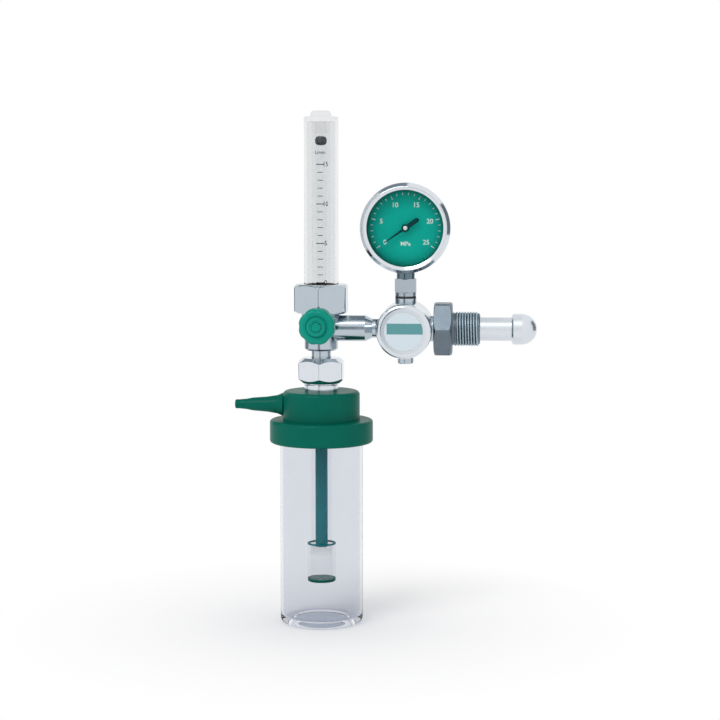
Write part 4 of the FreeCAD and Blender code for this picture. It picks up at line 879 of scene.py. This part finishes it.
class REGULATOR_OT_flow_scale(bpy.types.Operator):
    """Print the flow scale on the metering tube"""
    bl_idname = "regulator.flow_scale"
    bl_label = "Flow scale"

    def execute(self, context):
        sizes = context.scene.regulator_sizes
        low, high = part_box("metering_tube")
        tube = (high.x - low.x) / 2
        top, long_step, zero, step = 15, 5, 30.5 * MM, 5.2 * MM
        number_side, unit_height, unit_size = 0.62, 116.3 * MM, 3.1
        dark = FINISHES["dark_print"]
        rule = self.marks(dark)
        start = Matrix.Translation((FLOW_AXIS, 0, zero))
        prints = [
            rule.piece("tube_short_marks", start, Count=top + 1, Step=step, Radius=tube,
                       Line=sizes.scale_line, Sweep=radians(34)),
            rule.piece("tube_long_marks", start, Count=top // long_step + 1, Step=long_step * step,
                       Radius=tube, Line=1.3 * sizes.scale_line, Sweep=radians(52)),
        ]
        number_size = sizes.scale_number / MM
        labels = [(f"tube_number_{value}", str(value), zero + value * step, number_size, number_side)
                  for value in range(0, top + 1, long_step)]
        labels.append(("tube_unit", "L/min", unit_height, unit_size, 0.0))
        for name, text, height, size, side in labels:
            spot = Matrix.Translation((FLOW_AXIS, 0, height)) @ Matrix.Rotation(side, 4, "Z")
            spot = spot @ Matrix.Translation((0, -tube, 0)) @ Matrix.Rotation(radians(90), 4, "X")
            prints.append(words(name, text, size, spot @ Matrix.Scale(MM, 4), dark, tube / MM))
        for piece in prints:
            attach(piece, "regulator")
        return {"FINISHED"}

    @staticmethod
    def marks(material):
        """Rule for equal marks one above another round the front of a tube."""
        rule = Repeat("tube_marks", Count=16, Step=0.0052, Radius=0.006, Line=0.0004, Sweep=radians(44))
        given = rule.given
        arc = rule.node("GeometryNodeCurveArc", {"mode": "RADIUS"}, {
            "Resolution": 12, "Radius": given["Radius"], "Start Angle": -pi / 2 - given["Sweep"] * 0.5,
            "Sweep Angle": given["Sweep"]})
        steady = rule.node("GeometryNodeSetCurveNormal", {"mode": "Z_UP"}, {"Curve": arc.outputs[0]})
        line = rule.node("GeometryNodeCurvePrimitiveQuadrilateral", {"mode": "RECTANGLE"}, {
            "Width": INK * MM, "Height": given["Line"]})
        mark = rule.node("GeometryNodeCurveToMesh", {}, {
            "Curve": steady.outputs[0], "Profile Curve": line.outputs[0], "Fill Caps": True})
        place = rule.amount("GeometryNodeInputIndex")
        spots = rule.node("GeometryNodePoints", {}, {
            "Count": given["Count"], "Position": rule.point(0, 0, place * given["Step"])})
        copies = rule.node("GeometryNodeInstanceOnPoints", {}, {
            "Points": spots.outputs[0], "Instance": mark.outputs[0]})
        rule.close(copies.outputs[0], material)
        return rule


# ---------------------------------------------------------------- stage

def ground_finish():
    """Pale matt ground that turns into the white of the background away from the object."""
    near, fade = 0.06, 0.16
    made = Finish("ground")
    across, along, _ = made.across((FLOW_AXIS, 0, 0))
    reach = (across * across + along * along) ** 0.5
    away = ((reach - near) / fade).clamped() * made.rays("Camera", "Glossy", "Transmission")
    matt = made.surface(shown(252, 252, 253), 0.85, specular_ior_level=0.0)
    mixed = made.node("ShaderNodeMixShader", {}, {0: away, 1: matt, 2: made.glow()})
    return made.done(mixed.outputs[0])


def sheet(name, size, place, material):
    """A flat piece of the stage."""
    mesh = bpy.data.meshes.new(name)
    half_wide, half_high = size[0] / 2, size[1] / 2
    mesh.from_pydata([(-half_wide, -half_high, 0), (half_wide, -half_high, 0), (half_wide, half_high, 0),
                      (-half_wide, half_high, 0)], [], [(0, 1, 2, 3)])
    mesh.transform(place)
    mesh.materials.append(material)
    made = set_out(name, mesh)
    return made


def aimed(name, data, place, aim):
    """Put a lamp or camera in its place, looking at the aim."""
    made = bpy.data.objects.new(name, data)
    made.location = place
    made.rotation_euler = (aim - place).to_track_quat("-Z", "Y").to_euler()
    bpy.context.collection.objects.link(made)
    return made


PICTURE_CENTRE = Vector((-0.1045, 0, -0.0213))

# Grey cards that only reflections show: name, size and middle in metres, the way it faces, tone.
CARDS = [
    ("arm_card", (0.42, 1.0), (-0.41, -1.5, 0.0), (0, 1, 0), (96, 112, 124)),
    ("overhead_card", (1.2, 2.0), (-0.675, 0.7, 1.1), (0, 0, -1), (134, 146, 154)),
    ("right_card", (1.2, 1.6), (1.3, 0.7, 0.2), (-1, 0, 0), (108, 116, 124)),
    ("left_card", (1.2, 1.6), (-1.5, 0.7, 0.2), (1, 0, 0), (120, 128, 136)),
]


class REGULATOR_OT_stage(bpy.types.Operator):
    """Set the pale ground, the white surround, the lamp, the camera and the grey cards"""
    bl_idname = "regulator.stage"
    bl_label = "Stage"

    def execute(self, context):
        scene = context.scene
        settings = scene.regulator_stage
        ground = Matrix.Translation((FLOW_AXIS, 0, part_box("bottle")[0].z))
        sheet("ground", (6, 6), ground, ground_finish())
        self.surround(scene, settings.sky)
        sun = bpy.data.lights.new("main_lamp", "SUN")
        sun.energy = settings.sun
        sun.angle = radians(30)
        aimed("main_lamp", sun, PICTURE_CENTRE + Vector((-0.5, -0.9, 1.1)), PICTURE_CENTRE)
        side, rise = settings.azimuth, settings.elevation
        out = Vector((sin(side) * cos(rise), -cos(side) * cos(rise), sin(rise)))
        lens = bpy.data.cameras.new("camera")
        lens.lens = 100
        lens.sensor_width = 36
        scene.camera = aimed("camera", lens, PICTURE_CENTRE + out * settings.distance, PICTURE_CENTRE)
        for name, size, spot, facing, tone in CARDS:
            turned = Vector(facing).to_track_quat("Z", "Y").to_matrix().to_4x4()
            light = Finish(name)
            card = sheet(name, size, Matrix.Translation(spot) @ turned, light.done(light.glow(shown(*tone))))
            card.visible_camera = False
            card.visible_diffuse = False
            card.visible_transmission = False
            card.visible_shadow = False
        scene.view_settings.view_transform = "Standard"
        return {"FINISHED"}

    @staticmethod
    def surround(scene, sky):
        """White where it is seen, and as strong as the sky where it lights the object."""
        scene.world = bpy.data.worlds.new("surround")
        scene.world.use_nodes = True
        scene.world.node_tree.nodes.clear()
        made = Plan(scene.world.node_tree)
        strength = sky + made.rays("Camera", "Glossy", "Transmission") * (1 - sky)
        light = made.node("ShaderNodeBackground", {}, {"Color": (1, 1, 1), "Strength": strength})
        made.node("ShaderNodeOutputWorld", {}, {"Surface": light.outputs[0]})


class REGULATOR_PT_panel(bpy.types.Panel):
    """Lists the steps that dress the regulator"""
    bl_label = "Regulator"
    bl_idname = "REGULATOR_PT_panel"
    bl_space_type = "VIEW_3D"
    bl_region_type = "UI"
    bl_category = "Regulator"

    def draw(self, context):
        for step in STEPS:
            self.layout.operator(step.bl_idname)
        for group in GROUPS:
            box = self.layout.box()
            for name in GROUPS[group].__annotations__:
                box.prop(getattr(context.scene, group), name)


STEPS = (REGULATOR_OT_finishes, REGULATOR_OT_inlet_nut, REGULATOR_OT_nuts, REGULATOR_OT_knob,
         REGULATOR_OT_humidifier, REGULATOR_OT_tube_stop, REGULATOR_OT_gauge_prints,
         REGULATOR_OT_flow_scale, REGULATOR_OT_stage)
GROUPS = {"regulator_sizes": RegulatorSizes, "regulator_colours": RegulatorColours,
          "regulator_stage": RegulatorStage}


def register():
    for made in (*GROUPS.values(), *STEPS, REGULATOR_PT_panel):
        bpy.utils.register_class(made)
    for name, group in GROUPS.items():
        setattr(bpy.types.Scene, name, bpy.props.PointerProperty(type=group))


def unregister():
    for name in GROUPS:
        delattr(bpy.types.Scene, name)
    for made in reversed((*GROUPS.values(), *STEPS, REGULATOR_PT_panel)):
        bpy.utils.unregister_class(made)


def main():
    """Run every step in order."""
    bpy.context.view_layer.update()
    register()
    for step in STEPS:
        group, name = step.bl_idname.split(".")
        getattr(getattr(bpy.ops, group), name)()


if __name__ == "__main__":
    main()
